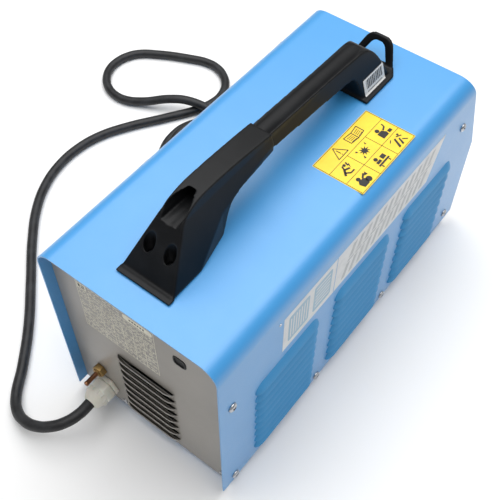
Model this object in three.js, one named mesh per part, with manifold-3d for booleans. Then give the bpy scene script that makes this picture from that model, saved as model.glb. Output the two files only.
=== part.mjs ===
// Compact inverter MIG welder: a folded steel case with a moulded carry handle, a wire feeder behind
// a side door, a fan-cooled power stage, front controls and sockets, and a rubber mains lead.
// Millimetres, +Z up. The front faces -Y and the wire-feed door is on +X. The origin is on the floor,
// under the middle of the case.

import * as THREE from 'three'
import { mergeVertices } from 'three/addons/utils/BufferGeometryUtils.js'
import Module from 'manifold-3d'

const wasm = await Module()
wasm.setup()

// Driving dimensions
const WIDTH = 210
const LENGTH = 479
const CASE_HEIGHT = 255
const FEET = 12
const SHEET = 1.5
const TOP_BEND = 21
const GAP = 0.3
const RECESS = 12
const LEAN_START = 141.5
const LEAN_BACK = 46.5

// Worked out from them
const SIDE = WIDTH / 2
const INNER = SIDE - SHEET
const REAR = LENGTH / 2
const FRONT = -LENGTH / 2
const TOP = FEET + CASE_HEIGHT
const LEAN = LEAN_BACK / (TOP - LEAN_START)
const LINER = INNER - GAP
const REAR_PANEL = REAR - RECESS
const FRONT_PANEL = FRONT + RECESS
const PANEL_BREAK = LEAN_START - 2
const FLANGE = 14
const DEEP = 40

const model = new THREE.Group()

// Finishes
const finish = (color, roughness, metalness = 0) =>
  new THREE.MeshStandardMaterial({ color, roughness, metalness })
const bluePaint = finish(0x5d9fdc, 0.42)
const greyPaint = finish(0x8d8880, 0.35)
const blackPlastic = finish(0x1b1c1e, 0.55)
const blackRubber = finish(0x161616, 0.7)
const whiteNylon = finish(0xe6e4da, 0.45)
const brass = finish(0xa8793b, 0.3, 1)
const zinc = finish(0xb9bcc0, 0.3, 1)
const zincSheet = finish(0x9a9da0, 0.4, 1)
const aluminium = finish(0xb4b7ba, 0.45, 1)
const copperWire = finish(0xb06a3c, 0.35, 1)
const greenBoard = finish(0x1f5a35, 0.5)
const ferrite = finish(0x3a3b3d, 0.6)
const redPlastic = finish(0xb8231d, 0.4)
const smokedLens = finish(0x1a0f10, 0.15)

// Solids: a geometry becomes a manifold solid, and a solid becomes a mesh of the group

const solid = (geometry) => {
  const bare = geometry.index ? geometry.toNonIndexed() : geometry.clone()
  bare.deleteAttribute('normal')
  bare.deleteAttribute('uv')
  const merged = mergeVertices(bare, 1e-4)
  return new wasm.Manifold(
    new wasm.Mesh({
      numProp: 3,
      vertProperties: new Float32Array(merged.attributes.position.array),
      triVerts: new Uint32Array(merged.index.array),
    })
  )
}

const add = (name, shape, material) => {
  const mesh = shape.getMesh()
  const geometry = new THREE.BufferGeometry()
  geometry.setAttribute('position', new THREE.BufferAttribute(mesh.vertProperties, 3))
  geometry.setIndex(new THREE.BufferAttribute(mesh.triVerts, 1))
  geometry.computeVertexNormals()
  const node = new THREE.Mesh(geometry, material)
  node.name = name
  model.add(node)
}

const join = (...solids) => solids.reduce((whole, next) => whole.add(next))
const cut = (body, ...tools) => tools.reduce((left, tool) => left.subtract(tool), body)

const box = ([x0, x1], [y0, y1], [z0, z1]) =>
  solid(
    new THREE.BoxGeometry(x1 - x0, y1 - y0, z1 - z0).translate(
      (x0 + x1) / 2,
      (y0 + y1) / 2,
      (z0 + z1) / 2
    )
  )

const centred = (half, middle) => [middle - half, middle + half]

// An outline pushed along one axis. It is drawn in (x, z) for Y, in (y, z) for X and in (x, y) for Z
const pushed = (outline, length) =>
  new THREE.ExtrudeGeometry(outline, { depth: length, bevelEnabled: false, curveSegments: 8 })
const alongY = (outline, y0, y1) =>
  solid(pushed(outline, y1 - y0).rotateX(Math.PI / 2).translate(0, y1, 0))
const cyclic = new THREE.Matrix4().set(0, 0, 1, 0, 1, 0, 0, 0, 0, 1, 0, 0, 0, 0, 0, 1)
const alongX = (outline, x0, x1) =>
  solid(pushed(outline, x1 - x0).applyMatrix4(cyclic).translate(x0, 0, 0))
const alongZ = (outline, z0, z1) => solid(pushed(outline, z1 - z0).translate(0, 0, z0))
const polygon = (points) => new THREE.Shape(points.map(([a, b]) => new THREE.Vector2(a, b)))

// Turned pieces. The profile is a list of (radius, height), and the piece stands on `at` along `axis`
const AXES = {
  x: new THREE.Vector3(1, 0, 0),
  y: new THREE.Vector3(0, 1, 0),
  z: new THREE.Vector3(0, 0, 1),
}
const turned = (profile, at, axis, segments = 24) => {
  const closed = profile[0][0] === 0 ? profile : [...profile, profile[0]]
  const outline = closed.map(([r, h]) => new THREE.Vector2(r, h))
  const geometry = new THREE.LatheGeometry(outline, segments)
  const direction = typeof axis === 'string' ? AXES[axis] : axis
  const turn = new THREE.Quaternion().setFromUnitVectors(AXES.y, direction)
  return solid(geometry.applyQuaternion(turn).translate(...at))
}
const rod = (radius, length, at, axis, segments = 24) =>
  turned([[0, 0], [radius, 0], [radius, length], [0, length]], at, axis, segments)
const ring = (outer, inner, length, at, axis, segments = 24) =>
  turned([[inner, 0], [outer, 0], [outer, length], [inner, length]], at, axis, segments)
const hexagon = (acrossFlats, length, at, axis) =>
  rod(acrossFlats / Math.sqrt(3), length, at, axis, 6)

// Case cover: one sheet folded over the top, its front edge leaning back above the sockets

const archOutline = (half, bend, low, high) => {
  const arch = new THREE.Shape()
  arch.moveTo(-half, low)
  arch.lineTo(half, low)
  arch.lineTo(half, high - bend)
  arch.absarc(half - bend, high - bend, bend, 0, Math.PI / 2, false)
  arch.lineTo(-half + bend, high)
  arch.absarc(-half + bend, high - bend, bend, Math.PI / 2, Math.PI, false)
  arch.lineTo(-half, low)
  return arch
}
const leanAt = (z) => FRONT + LEAN * (z - LEAN_START)
const aboveLean = TOP + 10
const leaningCorner = alongX(
  polygon([
    [FRONT - 10, LEAN_START],
    [FRONT, LEAN_START],
    [leanAt(aboveLean), aboveLean],
    [FRONT - 10, aboveLean],
  ]),
  -SIDE - 1,
  SIDE + 1
)

// Louvres: hoods pressed outwards from the left side, open along their lower edge
const LOUVRE_LENGTH = 103
const LOUVRE_CENTRES = [136, 4, -128]
const LOUVRE_ROWS = 9
const LOUVRE_PITCH = 15.3
const LOUVRE_LOWEST = 31
const HOOD_HEIGHT = 11
const HOOD_DEPTH = 4
const HOOD_WALL = 1

const louvre = (y, z) => {
  const outer = polygon([[-SIDE + 0.5, z], [-SIDE - HOOD_DEPTH, z], [-SIDE + 0.5, z + HOOD_HEIGHT]])
  const hollow = polygon([
    [-INNER + 1, z - 1],
    [-SIDE - HOOD_DEPTH + HOOD_WALL, z - 1],
    [-SIDE - HOOD_DEPTH + HOOD_WALL, z + 1],
    [-INNER + 1, z + HOOD_HEIGHT - 2],
  ])
  const half = LOUVRE_LENGTH / 2
  return {
    hood: alongY(outer, y - half, y + half),
    mouth: alongY(hollow, y - half + HOOD_WALL, y + half - HOOD_WALL),
  }
}
const louvres = LOUVRE_CENTRES.flatMap((y) =>
  Array.from({ length: LOUVRE_ROWS }, (_, row) => louvre(y, LOUVRE_LOWEST + row * LOUVRE_PITCH))
)

// Side screws hold the cover to the base and to the two end panels
const SIDE_SCREWS = [
  [REAR - 17.5, 186],
  [REAR - 19.5, 23],
  [72.5, 19],
  [-65.5, 19],
  [FRONT + 26, 31],
  [-187.5, 206.5],
]
const SCREW_SHANK = 2.4
const screwHoles = (places, side) =>
  join(...places.map(([y, z]) => rod(SCREW_SHANK + GAP, 12, [side * INNER - 6, y, z], 'x', 12)))
const leftHoles = screwHoles(SIDE_SCREWS, -1)
const rightHoles = screwHoles(SIDE_SCREWS.slice(0, 2), 1)

// The door opening in the right side, and the holes for its two latches
const DOOR = { y: [-188, 152], z: [46, 236] }
const DOOR_LAP = 8
const OPENING = {
  y: [DOOR.y[0] + DOOR_LAP, DOOR.y[1] - DOOR_LAP],
  z: [DOOR.z[0] + DOOR_LAP, DOOR.z[1] - DOOR_LAP],
}
const LATCHES = { front: -140, rear: 104 }
const LATCH_Z = DOOR.z[0] + 14

const cover = cut(
  join(
    alongY(archOutline(SIDE, TOP_BEND, FEET, TOP), FRONT, REAR),
    ...louvres.map((each) => each.hood)
  ),
  alongY(archOutline(INNER, TOP_BEND - SHEET, FEET - 1, TOP - SHEET), FRONT - 1, REAR + 1),
  leaningCorner,
  ...louvres.map((each) => each.mouth),
  leftHoles,
  rightHoles,
  box([INNER - 1, SIDE + 1], OPENING.y, OPENING.z)
)
add('casing_cover', cover, bluePaint)

for (const [i, [y, z]] of SIDE_SCREWS.entries()) {
  const screw = join(
    turned([[0, GAP], [5, GAP], [5, 1.4], [3.6, 2.9], [0, 2.9]], [-SIDE, y, z], AXES.x.clone().negate(), 16),
    rod(SCREW_SHANK, 7, [-SIDE - 1, y, z], 'x', 12)
  )
  add(`left_screw_${i + 1}`, screw, zinc)
}
for (const [i, [y, z]] of SIDE_SCREWS.slice(0, 2).entries()) {
  const screw = join(
    turned([[0, GAP], [5, GAP], [5, 1.4], [3.6, 2.9], [0, 2.9]], [SIDE, y, z], 'x', 16),
    rod(SCREW_SHANK, 7, [SIDE - 6, y, z], 'x', 12)
  )
  add(`right_screw_${i + 1}`, screw, zinc)
}

// Base tray: floor sheet with two upturned side flanges, on four rubber feet

const BASE_Y = [FRONT_PANEL + 3, REAR_PANEL - SHEET - GAP]
const trayFlange = (side) =>
  box(side < 0 ? [-LINER, -LINER + SHEET] : [LINER - SHEET, LINER], [-200, 196], [FEET + 1, FEET + FLANGE])
const baseTray = cut(
  join(box([-LINER, LINER], BASE_Y, [FEET, FEET + SHEET]), trayFlange(-1), trayFlange(1)),
  leftHoles
)
add('base_tray', baseTray, greyPaint)

for (const [end, y] of [['front', -205], ['rear', 205]]) {
  for (const [side, x] of [['left', -82], ['right', 82]]) {
    const foot = turned([[0, 0], [11, 0], [12.5, 2], [10.5, FEET - GAP], [0, FEET - GAP]], [x, y, 0], 'z', 20)
    add(`foot_${end}_${side}`, foot, blackRubber)
  }
}

// Rear panel: sheet with side flanges, eight vent scoops, and holes for the lead, the gas and a plug

const GLAND = { x: 65, z: 36.7 }
const BARB = { x: 70.3, z: 66 }
const HOLE_PLUG = { x: -51, z: 215 }
const REAR_VENTS = { x: [-38, 36.5], z: [16, 136], rows: 8 }
const ventPitch = (REAR_VENTS.z[1] - REAR_VENTS.z[0]) / REAR_VENTS.rows

const scoop = (row) => {
  const z = REAR_VENTS.z[0] + row * ventPitch + 1.5
  const [x0, x1] = REAR_VENTS.x
  const height = ventPitch - 3.5
  const face = REAR_PANEL
  const outer = polygon([[face - 0.5, z], [face + 4, z + height], [face - 0.5, z + height]])
  const hollow = polygon([
    [face - SHEET - 1, z + 2],
    [face + 3, z + height - 1],
    [face + 3, z + height + 1],
    [face - SHEET - 1, z + height + 1],
  ])
  return { hood: alongX(outer, x0, x1), mouth: alongX(hollow, x0 + 1, x1 - 1) }
}
const scoops = Array.from({ length: REAR_VENTS.rows }, (_, row) => scoop(row))
const PANEL_TOP = TOP - SHEET - GAP
const rearArch = archOutline(LINER, TOP_BEND - SHEET - GAP, FEET + 2, PANEL_TOP)
const rearPanel = cut(
  join(
    alongY(archOutline(LINER, TOP_BEND - SHEET - GAP, FEET, PANEL_TOP), REAR_PANEL - SHEET, REAR_PANEL),
    cut(
      alongY(rearArch, REAR_PANEL - FLANGE - 4, REAR_PANEL - 0.5),
      alongY(archOutline(LINER - SHEET, 18, FEET - 1, PANEL_TOP - SHEET), REAR_PANEL - DEEP, REAR_PANEL),
    ),
    ...scoops.map((each) => each.hood)
  ),
  ...scoops.map((each) => each.mouth),
  rod(10 + GAP, 8, [GLAND.x, REAR_PANEL - 5, GLAND.z], 'y'),
  rod(4.3 + GAP, 8, [BARB.x, REAR_PANEL - 5, BARB.z], 'y'),
  rod(7 + GAP, 8, [HOLE_PLUG.x, REAR_PANEL - 5, HOLE_PLUG.z], 'y'),
  leftHoles,
  rightHoles
)
add('rear_panel', rearPanel, greyPaint)

const holePlug = turned(
  [[0, 0], [8.5, 0], [8.5, 0.8], [6.5, 1.6], [6.3, 0.9], [0, 0.9]],
  [HOLE_PLUG.x, REAR_PANEL + GAP, HOLE_PLUG.z],
  'y',
  16
)
const holePlugShank = rod(7, 4, [HOLE_PLUG.x, REAR_PANEL - 3.5, HOLE_PLUG.z], 'y', 16)
add('rear_hole_plug', join(holePlug, holePlugShank), blackPlastic)

// Cable gland: threaded body through the panel, and the dome nut that grips the lead

const LEAD = 12.5
const BORE = LEAD / 2 + GAP
const GLAND_NOSE = REAR + 19
const glandAt = [GLAND.x, 0, GLAND.z]
const glandBody = join(
  turned(
    [[BORE, REAR_PANEL - 12], [10, REAR_PANEL - 12], [10, REAR_PANEL + 2], [9, REAR_PANEL + 2],
      [9, REAR_PANEL + 20], [BORE, REAR_PANEL + 20]],
    glandAt,
    'y'
  ),
  cut(
    hexagon(27, 5, [GLAND.x, REAR_PANEL + GAP, GLAND.z], 'y'),
    rod(8.5, 8, [GLAND.x, REAR_PANEL - 1, GLAND.z], 'y')
  )
)
add('gland_body', glandBody, whiteNylon)

const NUT_START = REAR_PANEL + 5 + 2 * GAP
const glandNut = cut(
  join(
    turned(
      [[0, NUT_START + 6], [13, NUT_START + 6], [12.6, NUT_START + 14], [10.6, NUT_START + 20],
        [8.2, GLAND_NOSE], [0, GLAND_NOSE]],
      glandAt,
      'y'
    ),
    hexagon(27, 12, [GLAND.x, NUT_START, GLAND.z], 'y')
  ),
  rod(9 + GAP, REAR_PANEL + 20 + GAP - NUT_START + 1, [GLAND.x, NUT_START - 1, GLAND.z], 'y'),
  rod(BORE, DEEP, [GLAND.x, NUT_START, GLAND.z], 'y')
)
add('gland_nut', glandNut, whiteNylon)

// Gas inlet: brass hexagon with a plain hose tail and a bore right through

const barbAt = [BARB.x, 0, BARB.z]
const gasBarb = cut(
  join(
    turned(
      [[0, REAR_PANEL - 12], [4.3, REAR_PANEL - 12], [4.3, REAR_PANEL + 2], [2.6, REAR_PANEL + 2],
        [2.6, REAR + 13.4], [0, REAR + 13.4]],
      barbAt,
      'y',
      16
    ),
    hexagon(14, 7.5, [BARB.x, REAR_PANEL + GAP, BARB.z], 'y')
  ),
  rod(1.4, 80, [BARB.x, REAR_PANEL - 20, BARB.z], 'y', 12)
)
add('gas_inlet_barb', gasBarb, brass)

// Front panel: sheet that follows the case's leaning front, set back from its edge

const panelLine = (z, back = 0) => FRONT_PANEL + back + LEAN * Math.max(0, z - PANEL_BREAK)
const panelOutline = (front, back, low) =>
  polygon([
    [panelLine(0, front), low],
    [panelLine(PANEL_BREAK, front), PANEL_BREAK],
    [panelLine(PANEL_TOP, front), PANEL_TOP],
    [panelLine(PANEL_TOP, back), PANEL_TOP],
    [panelLine(PANEL_BREAK, back), PANEL_BREAK],
    [panelLine(0, back), low],
  ])
const FACE = 2
const TORCH_SOCKET = { x: 57, z: 110.4 }
const EARTH_SOCKET = { x: -45, z: 56 }
const POWER_SWITCH = { x: -50, z: 108, wide: 26, high: 21 }
const DIAL_Z = 196
const DIALS = { voltage: -52, wire_speed: 52 }
const DISPLAY = { wide: 64, high: 22, z: 238 }
const slope = new THREE.Vector3(0, -1, LEAN).normalize()
const onSlope = (x, z, proud = 0) => [x, panelLine(z) + slope.y * proud, z + slope.z * proud]
const trimmedArch = archOutline(LINER, TOP_BEND - SHEET - GAP, FEET, PANEL_TOP)
const displayHole = (grow, depth, proud) => {
  const half = DISPLAY.high / 2 + grow
  const upright = slope.z
  const [, y, z] = onSlope(0, DISPLAY.z, proud)
  const up = new THREE.Vector2(LEAN, 1).normalize().multiplyScalar(half)
  const deep = new THREE.Vector2(-slope.y, -upright).multiplyScalar(depth)
  return alongX(
    polygon([
      [y - up.x, z - up.y],
      [y + up.x, z + up.y],
      [y + up.x + deep.x, z + up.y + deep.y],
      [y - up.x + deep.x, z - up.y + deep.y],
    ]),
    -DISPLAY.wide / 2 - grow,
    DISPLAY.wide / 2 + grow
  )
}
const flangeOutline = panelOutline(1, FLANGE + 4, FEET + 2)
const frontFlange = (side) =>
  side < 0 ? alongX(flangeOutline, -LINER, SHEET - LINER) : alongX(flangeOutline, LINER - SHEET, LINER)
const frontPanel = cut(
  alongY(trimmedArch, FRONT_PANEL - 5, -100).intersect(
    join(alongX(panelOutline(0, FACE, FEET), -LINER, LINER), frontFlange(-1), frontFlange(1))
  ),
  rod(15 + GAP, 12, [TORCH_SOCKET.x, FRONT_PANEL - 5, TORCH_SOCKET.z], 'y'),
  rod(13 + GAP, 12, [EARTH_SOCKET.x, FRONT_PANEL - 5, EARTH_SOCKET.z], 'y'),
  box(
    [POWER_SWITCH.x - POWER_SWITCH.wide / 2, POWER_SWITCH.x + POWER_SWITCH.wide / 2],
    [FRONT_PANEL - 5, FRONT_PANEL + 5],
    [POWER_SWITCH.z - POWER_SWITCH.high / 2, POWER_SWITCH.z + POWER_SWITCH.high / 2]
  ),
  ...Object.values(DIALS).map((x) => rod(5, 12, onSlope(x, DIAL_Z, -6), slope, 16)),
  displayHole(0, 12, 5),
  leftHoles
)
add('front_panel', frontPanel, greyPaint)
add('display_lens', displayHole(-GAP, 3, 1.2), smokedLens)

// Front controls: two dials, each on its shaft, and a rocker switch in its frame

const DIAL_PROFILE = [[0, 0], [14, 0], [14, 3], [12, 4], [11, 15], [9.5, 16], [0, 16]]
for (const [name, x] of Object.entries(DIALS)) {
  const dial = cut(
    join(
      turned(DIAL_PROFILE, onSlope(x, DIAL_Z, 1), slope, 28),
      rod(3, 16, onSlope(x, DIAL_Z, -14), slope, 12)
    ),
    box([x - 0.6, x + 0.6], [FRONT_PANEL - DEEP, 0], [DIAL_Z + 9, DIAL_Z + 30])
  )
  add(`${name}_knob`, dial, blackPlastic)
}

const frameHalf = [POWER_SWITCH.wide / 2, POWER_SWITCH.high / 2]
const rockerFrame = cut(
  join(
    box(centred(frameHalf[0] + 2.5, POWER_SWITCH.x), [FRONT_PANEL - 2.3, FRONT_PANEL - GAP],
      centred(frameHalf[1] + 2.5, POWER_SWITCH.z)),
    box(centred(frameHalf[0] - GAP, POWER_SWITCH.x), [FRONT_PANEL - 1, FRONT_PANEL + 22],
      centred(frameHalf[1] - GAP, POWER_SWITCH.z))
  ),
  box(centred(frameHalf[0] - 2, POWER_SWITCH.x), [FRONT_PANEL - 5, FRONT_PANEL + 14],
    centred(frameHalf[1] - 2, POWER_SWITCH.z))
)
add('power_switch_frame', rockerFrame, blackPlastic)

// The rocker turns about an X axis 4 mm behind the panel's face. Its two faces meet in a shallow V
const ROCKER_TILT = 0.12
const rockerOutline = (() => {
  const half = frameHalf[1] - 4
  const face = FRONT_PANEL - 3.2
  return polygon([
    [face - half * ROCKER_TILT * 2, POWER_SWITCH.z + half],
    [face, POWER_SWITCH.z],
    [face + 0.3, POWER_SWITCH.z - half],
    [FRONT_PANEL + 6, POWER_SWITCH.z - half * 0.6],
    [FRONT_PANEL + 9, POWER_SWITCH.z],
    [FRONT_PANEL + 6, POWER_SWITCH.z + half * 0.6],
  ])
})()
add(
  'power_rocker',
  alongX(rockerOutline, POWER_SWITCH.x - frameHalf[0] + 2.6, POWER_SWITCH.x + frameHalf[0] - 2.6),
  redPlastic
)

// Sockets: the torch connector stands out furthest, and the earth socket is a bayonet type

const SOCKET_NOSE = 30.7
const outwards = AXES.y.clone().negate()
const torchSocket = cut(
  join(
    turned(
      [[0, 0], [25, 0], [25, 3.5], [20, 4.5], [19.5, 22], [17.5, SOCKET_NOSE], [0, SOCKET_NOSE]],
      [TORCH_SOCKET.x, FRONT_PANEL - GAP, TORCH_SOCKET.z],
      outwards,
      28
    ),
    rod(15, 14, [TORCH_SOCKET.x, FRONT_PANEL - 1, TORCH_SOCKET.z], 'y')
  ),
  rod(9, 20, [TORCH_SOCKET.x, FRONT_PANEL - SOCKET_NOSE - 5, TORCH_SOCKET.z], 'y'),
  rod(3, 60, [TORCH_SOCKET.x, FRONT_PANEL - 40, TORCH_SOCKET.z], 'y', 12)
)
add('torch_socket', torchSocket, brass)

const earthSocket = cut(
  join(
    turned(
      [[0, 0], [17.5, 0], [17.5, 5], [15.5, 11], [0, 11]],
      [EARTH_SOCKET.x, FRONT_PANEL - GAP, EARTH_SOCKET.z],
      outwards,
      28
    ),
    rod(13, 18, [EARTH_SOCKET.x, FRONT_PANEL - 2, EARTH_SOCKET.z], 'y')
  ),
  rod(6.5, 24, [EARTH_SOCKET.x, FRONT_PANEL - 12, EARTH_SOCKET.z], 'y')
)
add('earth_socket', earthSocket, blackPlastic)

// Carry handle, rear piece: a foot that narrows upwards into a sleeve for the grip

const HANDLE = { halfFoot: 29.5, halfSleeve: 12.7, halfMouth: 14.8, halfGrip: 10.4, step: 43.5 }
const SEAT = TOP + GAP
const sleeveSide = new THREE.Shape()
sleeveSide.moveTo(206.5, SEAT)
sleeveSide.lineTo(206.5, 271)
sleeveSide.lineTo(204, 271)
sleeveSide.lineTo(170, 319)
sleeveSide.bezierCurveTo(160, 330, 147, 333, 134, 333)
sleeveSide.bezierCurveTo(104, 333, 76, 330, HANDLE.step, 326)
sleeveSide.lineTo(HANDLE.step, 306)
sleeveSide.lineTo(92, 305)
sleeveSide.bezierCurveTo(108, 303, 113, 299, 117, 287)
sleeveSide.lineTo(123.8, SEAT)
sleeveSide.lineTo(206.5, SEAT)

const taper = (halfLow, halfHigh, low, high, top) =>
  polygon([
    [-halfLow, SEAT - 1],
    [halfLow, SEAT - 1],
    [halfLow, low],
    [halfHigh, high],
    [halfHigh - 1.5, top],
    [-halfHigh + 1.5, top],
    [-halfHigh, high],
    [-halfLow, low],
  ])
// The torch rest is a hollow in the crown: round above, flat below, narrowing as it runs forward
const REST_FLOOR = 9
const restAxis = new THREE.Vector3(0, -1, -0.11).normalize()
const torchRest = join(
  turned([[0, 0], [11.8, 0], [7.6, 74], [0, 74]], [0, 180, 327.6], restAxis, 28),
  alongX(polygon([[182, 316.5], [171.5, 316], [122, 312.6], [122, 320], [182, 328]]), -REST_FLOOR, REST_FLOOR)
)
const footScrew = { x: 11.5, y: 185, hole: 5.8, floor: 276 }
// Seen from above, the sleeve narrows towards its mouth
const sleevePlan = polygon([
  [-HANDLE.halfMouth, HANDLE.step - 1],
  [HANDLE.halfMouth, HANDLE.step - 1],
  [20, 125],
  [40, 214],
  [-40, 214],
  [-20, 125],
])
const boresAt = (radius, length, z, sides) =>
  [-1, 1].map((side) => rod(radius, length, [side * footScrew.x, footScrew.y, z], 'z', sides))
const sleeve = cut(
  alongX(sleeveSide, -HANDLE.halfFoot, HANDLE.halfFoot)
    .intersect(alongY(taper(HANDLE.halfFoot, HANDLE.halfSleeve, 270, 322, 336), 0, 230))
    .intersect(alongZ(sleevePlan, SEAT - 1, 340)),
  torchRest,
  ...boresAt(footScrew.hole, 60, footScrew.floor, 20),
  ...boresAt(SCREW_SHANK + GAP, 20, SEAT - 1, 12)
)
const lip = box([-HANDLE.halfFoot - 1.5, HANDLE.halfFoot + 1.5], [204.5, 212], [SEAT, SEAT + 2.4])
add('handle_rear_foot', join(sleeve, lip), blackPlastic)

for (const [side, name] of [[-1, 'left'], [1, 'right']]) {
  const at = [side * footScrew.x, footScrew.y, footScrew.floor + GAP]
  const screw = join(
    turned([[0, 0], [4.8, 0], [4.8, 1.2], [3.4, 2.7], [0, 2.7]], at, 'z', 16),
    rod(SCREW_SHANK, footScrew.floor - SEAT + 2, [at[0], at[1], SEAT + GAP], 'z', 12)
  )
  add(`handle_screw_${name}`, screw, zinc)
}

// Carry handle, front piece: the grip bar, the front foot on its flange, and the hanging loop

const GRIP_START = HANDLE.step - GAP
const gripSide = new THREE.Shape()
gripSide.moveTo(GRIP_START, 324.5)
gripSide.lineTo(-104, 316)
gripSide.bezierCurveTo(-126, 314, -134, 300, -146, 270)
gripSide.lineTo(-146, SEAT)
gripSide.lineTo(-96, SEAT)
gripSide.lineTo(-97, 274)
gripSide.bezierCurveTo(-93, 292, -90, 299, -80, 299)
gripSide.lineTo(GRIP_START, 307.5)
const flange = new THREE.Shape()
flange.moveTo(-31.5, -94.5)
flange.lineTo(-31.5, -145.5)
flange.lineTo(-25, -156.5)
flange.lineTo(25, -156.5)
flange.lineTo(31.5, -145.5)
flange.lineTo(31.5, -94.5)
const LOOP = { base: 25, top: 13.6, height: 27, band: 9.8, cap: 6, bend: 9, thick: 4, lean: 0.5, foot: -152.5 }
// A trapezium that stands on its longer side, its two upper corners rounded
const roundedTrapezium = (halfLow, low, halfHigh, high, bend) => {
  const side = new THREE.Vector2(halfLow - halfHigh, low - high).setLength(bend)
  const shape = new THREE.Shape()
  shape.moveTo(-halfLow, low)
  shape.lineTo(halfLow, low)
  shape.lineTo(halfHigh + side.x, high + side.y)
  shape.quadraticCurveTo(halfHigh, high, halfHigh - bend, high)
  shape.lineTo(bend - halfHigh, high)
  shape.quadraticCurveTo(-halfHigh, high, -halfHigh - side.x, high + side.y)
  return shape
}
const loopPlate = (() => {
  const low = SEAT + 1
  const high = SEAT + LOOP.height
  const outline = roundedTrapezium(LOOP.base, low, LOOP.top, high, LOOP.bend)
  const hole = roundedTrapezium(LOOP.base - LOOP.band, low + 3, LOOP.top - 7.3, high - LOOP.cap, LOOP.bend / 2)
  const plate = cut(
    alongY(outline, LOOP.foot - LOOP.thick, LOOP.foot),
    alongY(hole, LOOP.foot - LOOP.thick - 1, LOOP.foot + 1)
  )
  // leaning forward: each height moves towards the front by `lean` times its rise
  return plate.transform([1, 0, 0, 0, 0, 1, 0, 0, 0, -LOOP.lean, 1, 0, 0, LOOP.lean * low, 0, 1])
})()
const grip = cut(
  alongX(gripSide, -HANDLE.halfFoot, HANDLE.halfFoot).intersect(
    alongY(
      polygon([
        [-26.3, SEAT - 1],
        [26.3, SEAT - 1],
        [HANDLE.halfGrip, 318],
        [HANDLE.halfGrip, 330],
        [-HANDLE.halfGrip, 330],
        [-HANDLE.halfGrip, 318],
      ]),
      -170,
      60
    )
  ),
  rod(12, 190, [0, 60, 333.8], new THREE.Vector3(0, -1, -0.0561).normalize(), 24)
)
add('handle_grip', join(grip, alongZ(flange, SEAT, SEAT + 3), loopPlate), blackPlastic)

// Inside, left bay: partition, power board with its heatsink, transformer, output choke and fan

const FLOOR = FEET + SHEET + GAP
const PARTITION = 40
const [PARTITION_FRONT, PARTITION_BACK, PARTITION_TOP] = [-196, 156, 240]
const partitionSide = polygon([
  [PARTITION_FRONT, FLOOR],
  [PARTITION_BACK, FLOOR],
  [PARTITION_BACK, PARTITION_TOP],
  [PARTITION_FRONT + 18, PARTITION_TOP],
  [PARTITION_FRONT, 200],
])
const partition = cut(
  join(
    alongX(partitionSide, PARTITION, PARTITION + SHEET),
    box([PARTITION, LINER - 3], [PARTITION_BACK - SHEET, PARTITION_BACK], [FLOOR, PARTITION_TOP]),
    box([PARTITION - 14, PARTITION + 1], [PARTITION_FRONT, PARTITION_BACK], [FLOOR, FLOOR + SHEET])
  ),
  rod(6, 10, [PARTITION - 5, -130, 95], 'x', 16),
  rod(15, 10, [PARTITION - 5, 45, 142], 'x', 20)
)
add('centre_partition', partition, zincSheet)

const BOARD_X = -72
add('power_board', box([BOARD_X, BOARD_X + 1.6], [-150, 120], [FLOOR, 230]), greenBoard)

const FINS = 7
const finPitch = 9
const heatsink = join(
  box([BOARD_X + 2, BOARD_X + 7], [-20, 100], [150, 225]),
  ...Array.from({ length: FINS }, (_, i) =>
    box([BOARD_X + 6, BOARD_X + 34], [-20, 100], [155 + i * finPitch, 157.5 + i * finPitch])
  )
)
add('heatsink', heatsink, aluminium)

const TRANSFORMER = { x: -20, halfWidth: 35, y: [35, 85], high: 62, yoke: 11, leg: 11, window: 13 }
const windowZ = [FLOOR + TRANSFORMER.yoke, FLOOR + TRANSFORMER.high - TRANSFORMER.yoke]
const windowX = [TRANSFORMER.leg, TRANSFORMER.leg + TRANSFORMER.window]
const transformerCore = cut(
  box(centred(TRANSFORMER.halfWidth, 0), TRANSFORMER.y, [FLOOR, FLOOR + TRANSFORMER.high]),
  box([-windowX[1], -windowX[0]], [30, 90], windowZ),
  box(windowX, [30, 90], windowZ)
)
add('transformer_core', transformerCore.translate([TRANSFORMER.x, 0, 0]), ferrite)
const winding = cut(
  box(centred(windowX[1] - GAP, 0), [28, 92], [windowZ[0] + GAP, windowZ[1] - GAP]),
  box(centred(windowX[0] + GAP, 0), [TRANSFORMER.y[0] - GAP, TRANSFORMER.y[1] + GAP], [0, 100])
)
add('transformer_winding', winding.translate([TRANSFORMER.x, 0, 0]), copperWire)

add(
  'output_choke',
  turned([[16, 0], [34, 0], [36, 3], [36, 27], [34, 30], [16, 30], [14, 27], [14, 3]],
    [-20, -70, FLOOR], 'z', 20),
  copperWire
)

const FAN = { x: -8, z: 76, half: 60, front: REAR_PANEL - SHEET - GAP - 22, depth: 22 }
const fanFrame = cut(
  box(centred(FAN.half, FAN.x), [FAN.front, FAN.front + FAN.depth], centred(FAN.half, FAN.z)),
  rod(57, FAN.depth - 3, [FAN.x, FAN.front - 1, FAN.z], 'y', 32),
  ...[0, 1, 2, 3].map((i) => {
    const wedge = new THREE.Shape()
    wedge.absarc(0, 0, 57, 0.06, Math.PI / 2 - 0.06, false)
    wedge.absarc(0, 0, 22, Math.PI / 2 - 0.15, 0.15, true)
    const slot = pushed(wedge, 8).rotateZ((i * Math.PI) / 2 + Math.PI / 4)
    return solid(slot.rotateX(Math.PI / 2).translate(FAN.x, FAN.front + FAN.depth + 1, FAN.z))
  })
)
add('fan_frame', fanFrame, blackPlastic)

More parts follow.
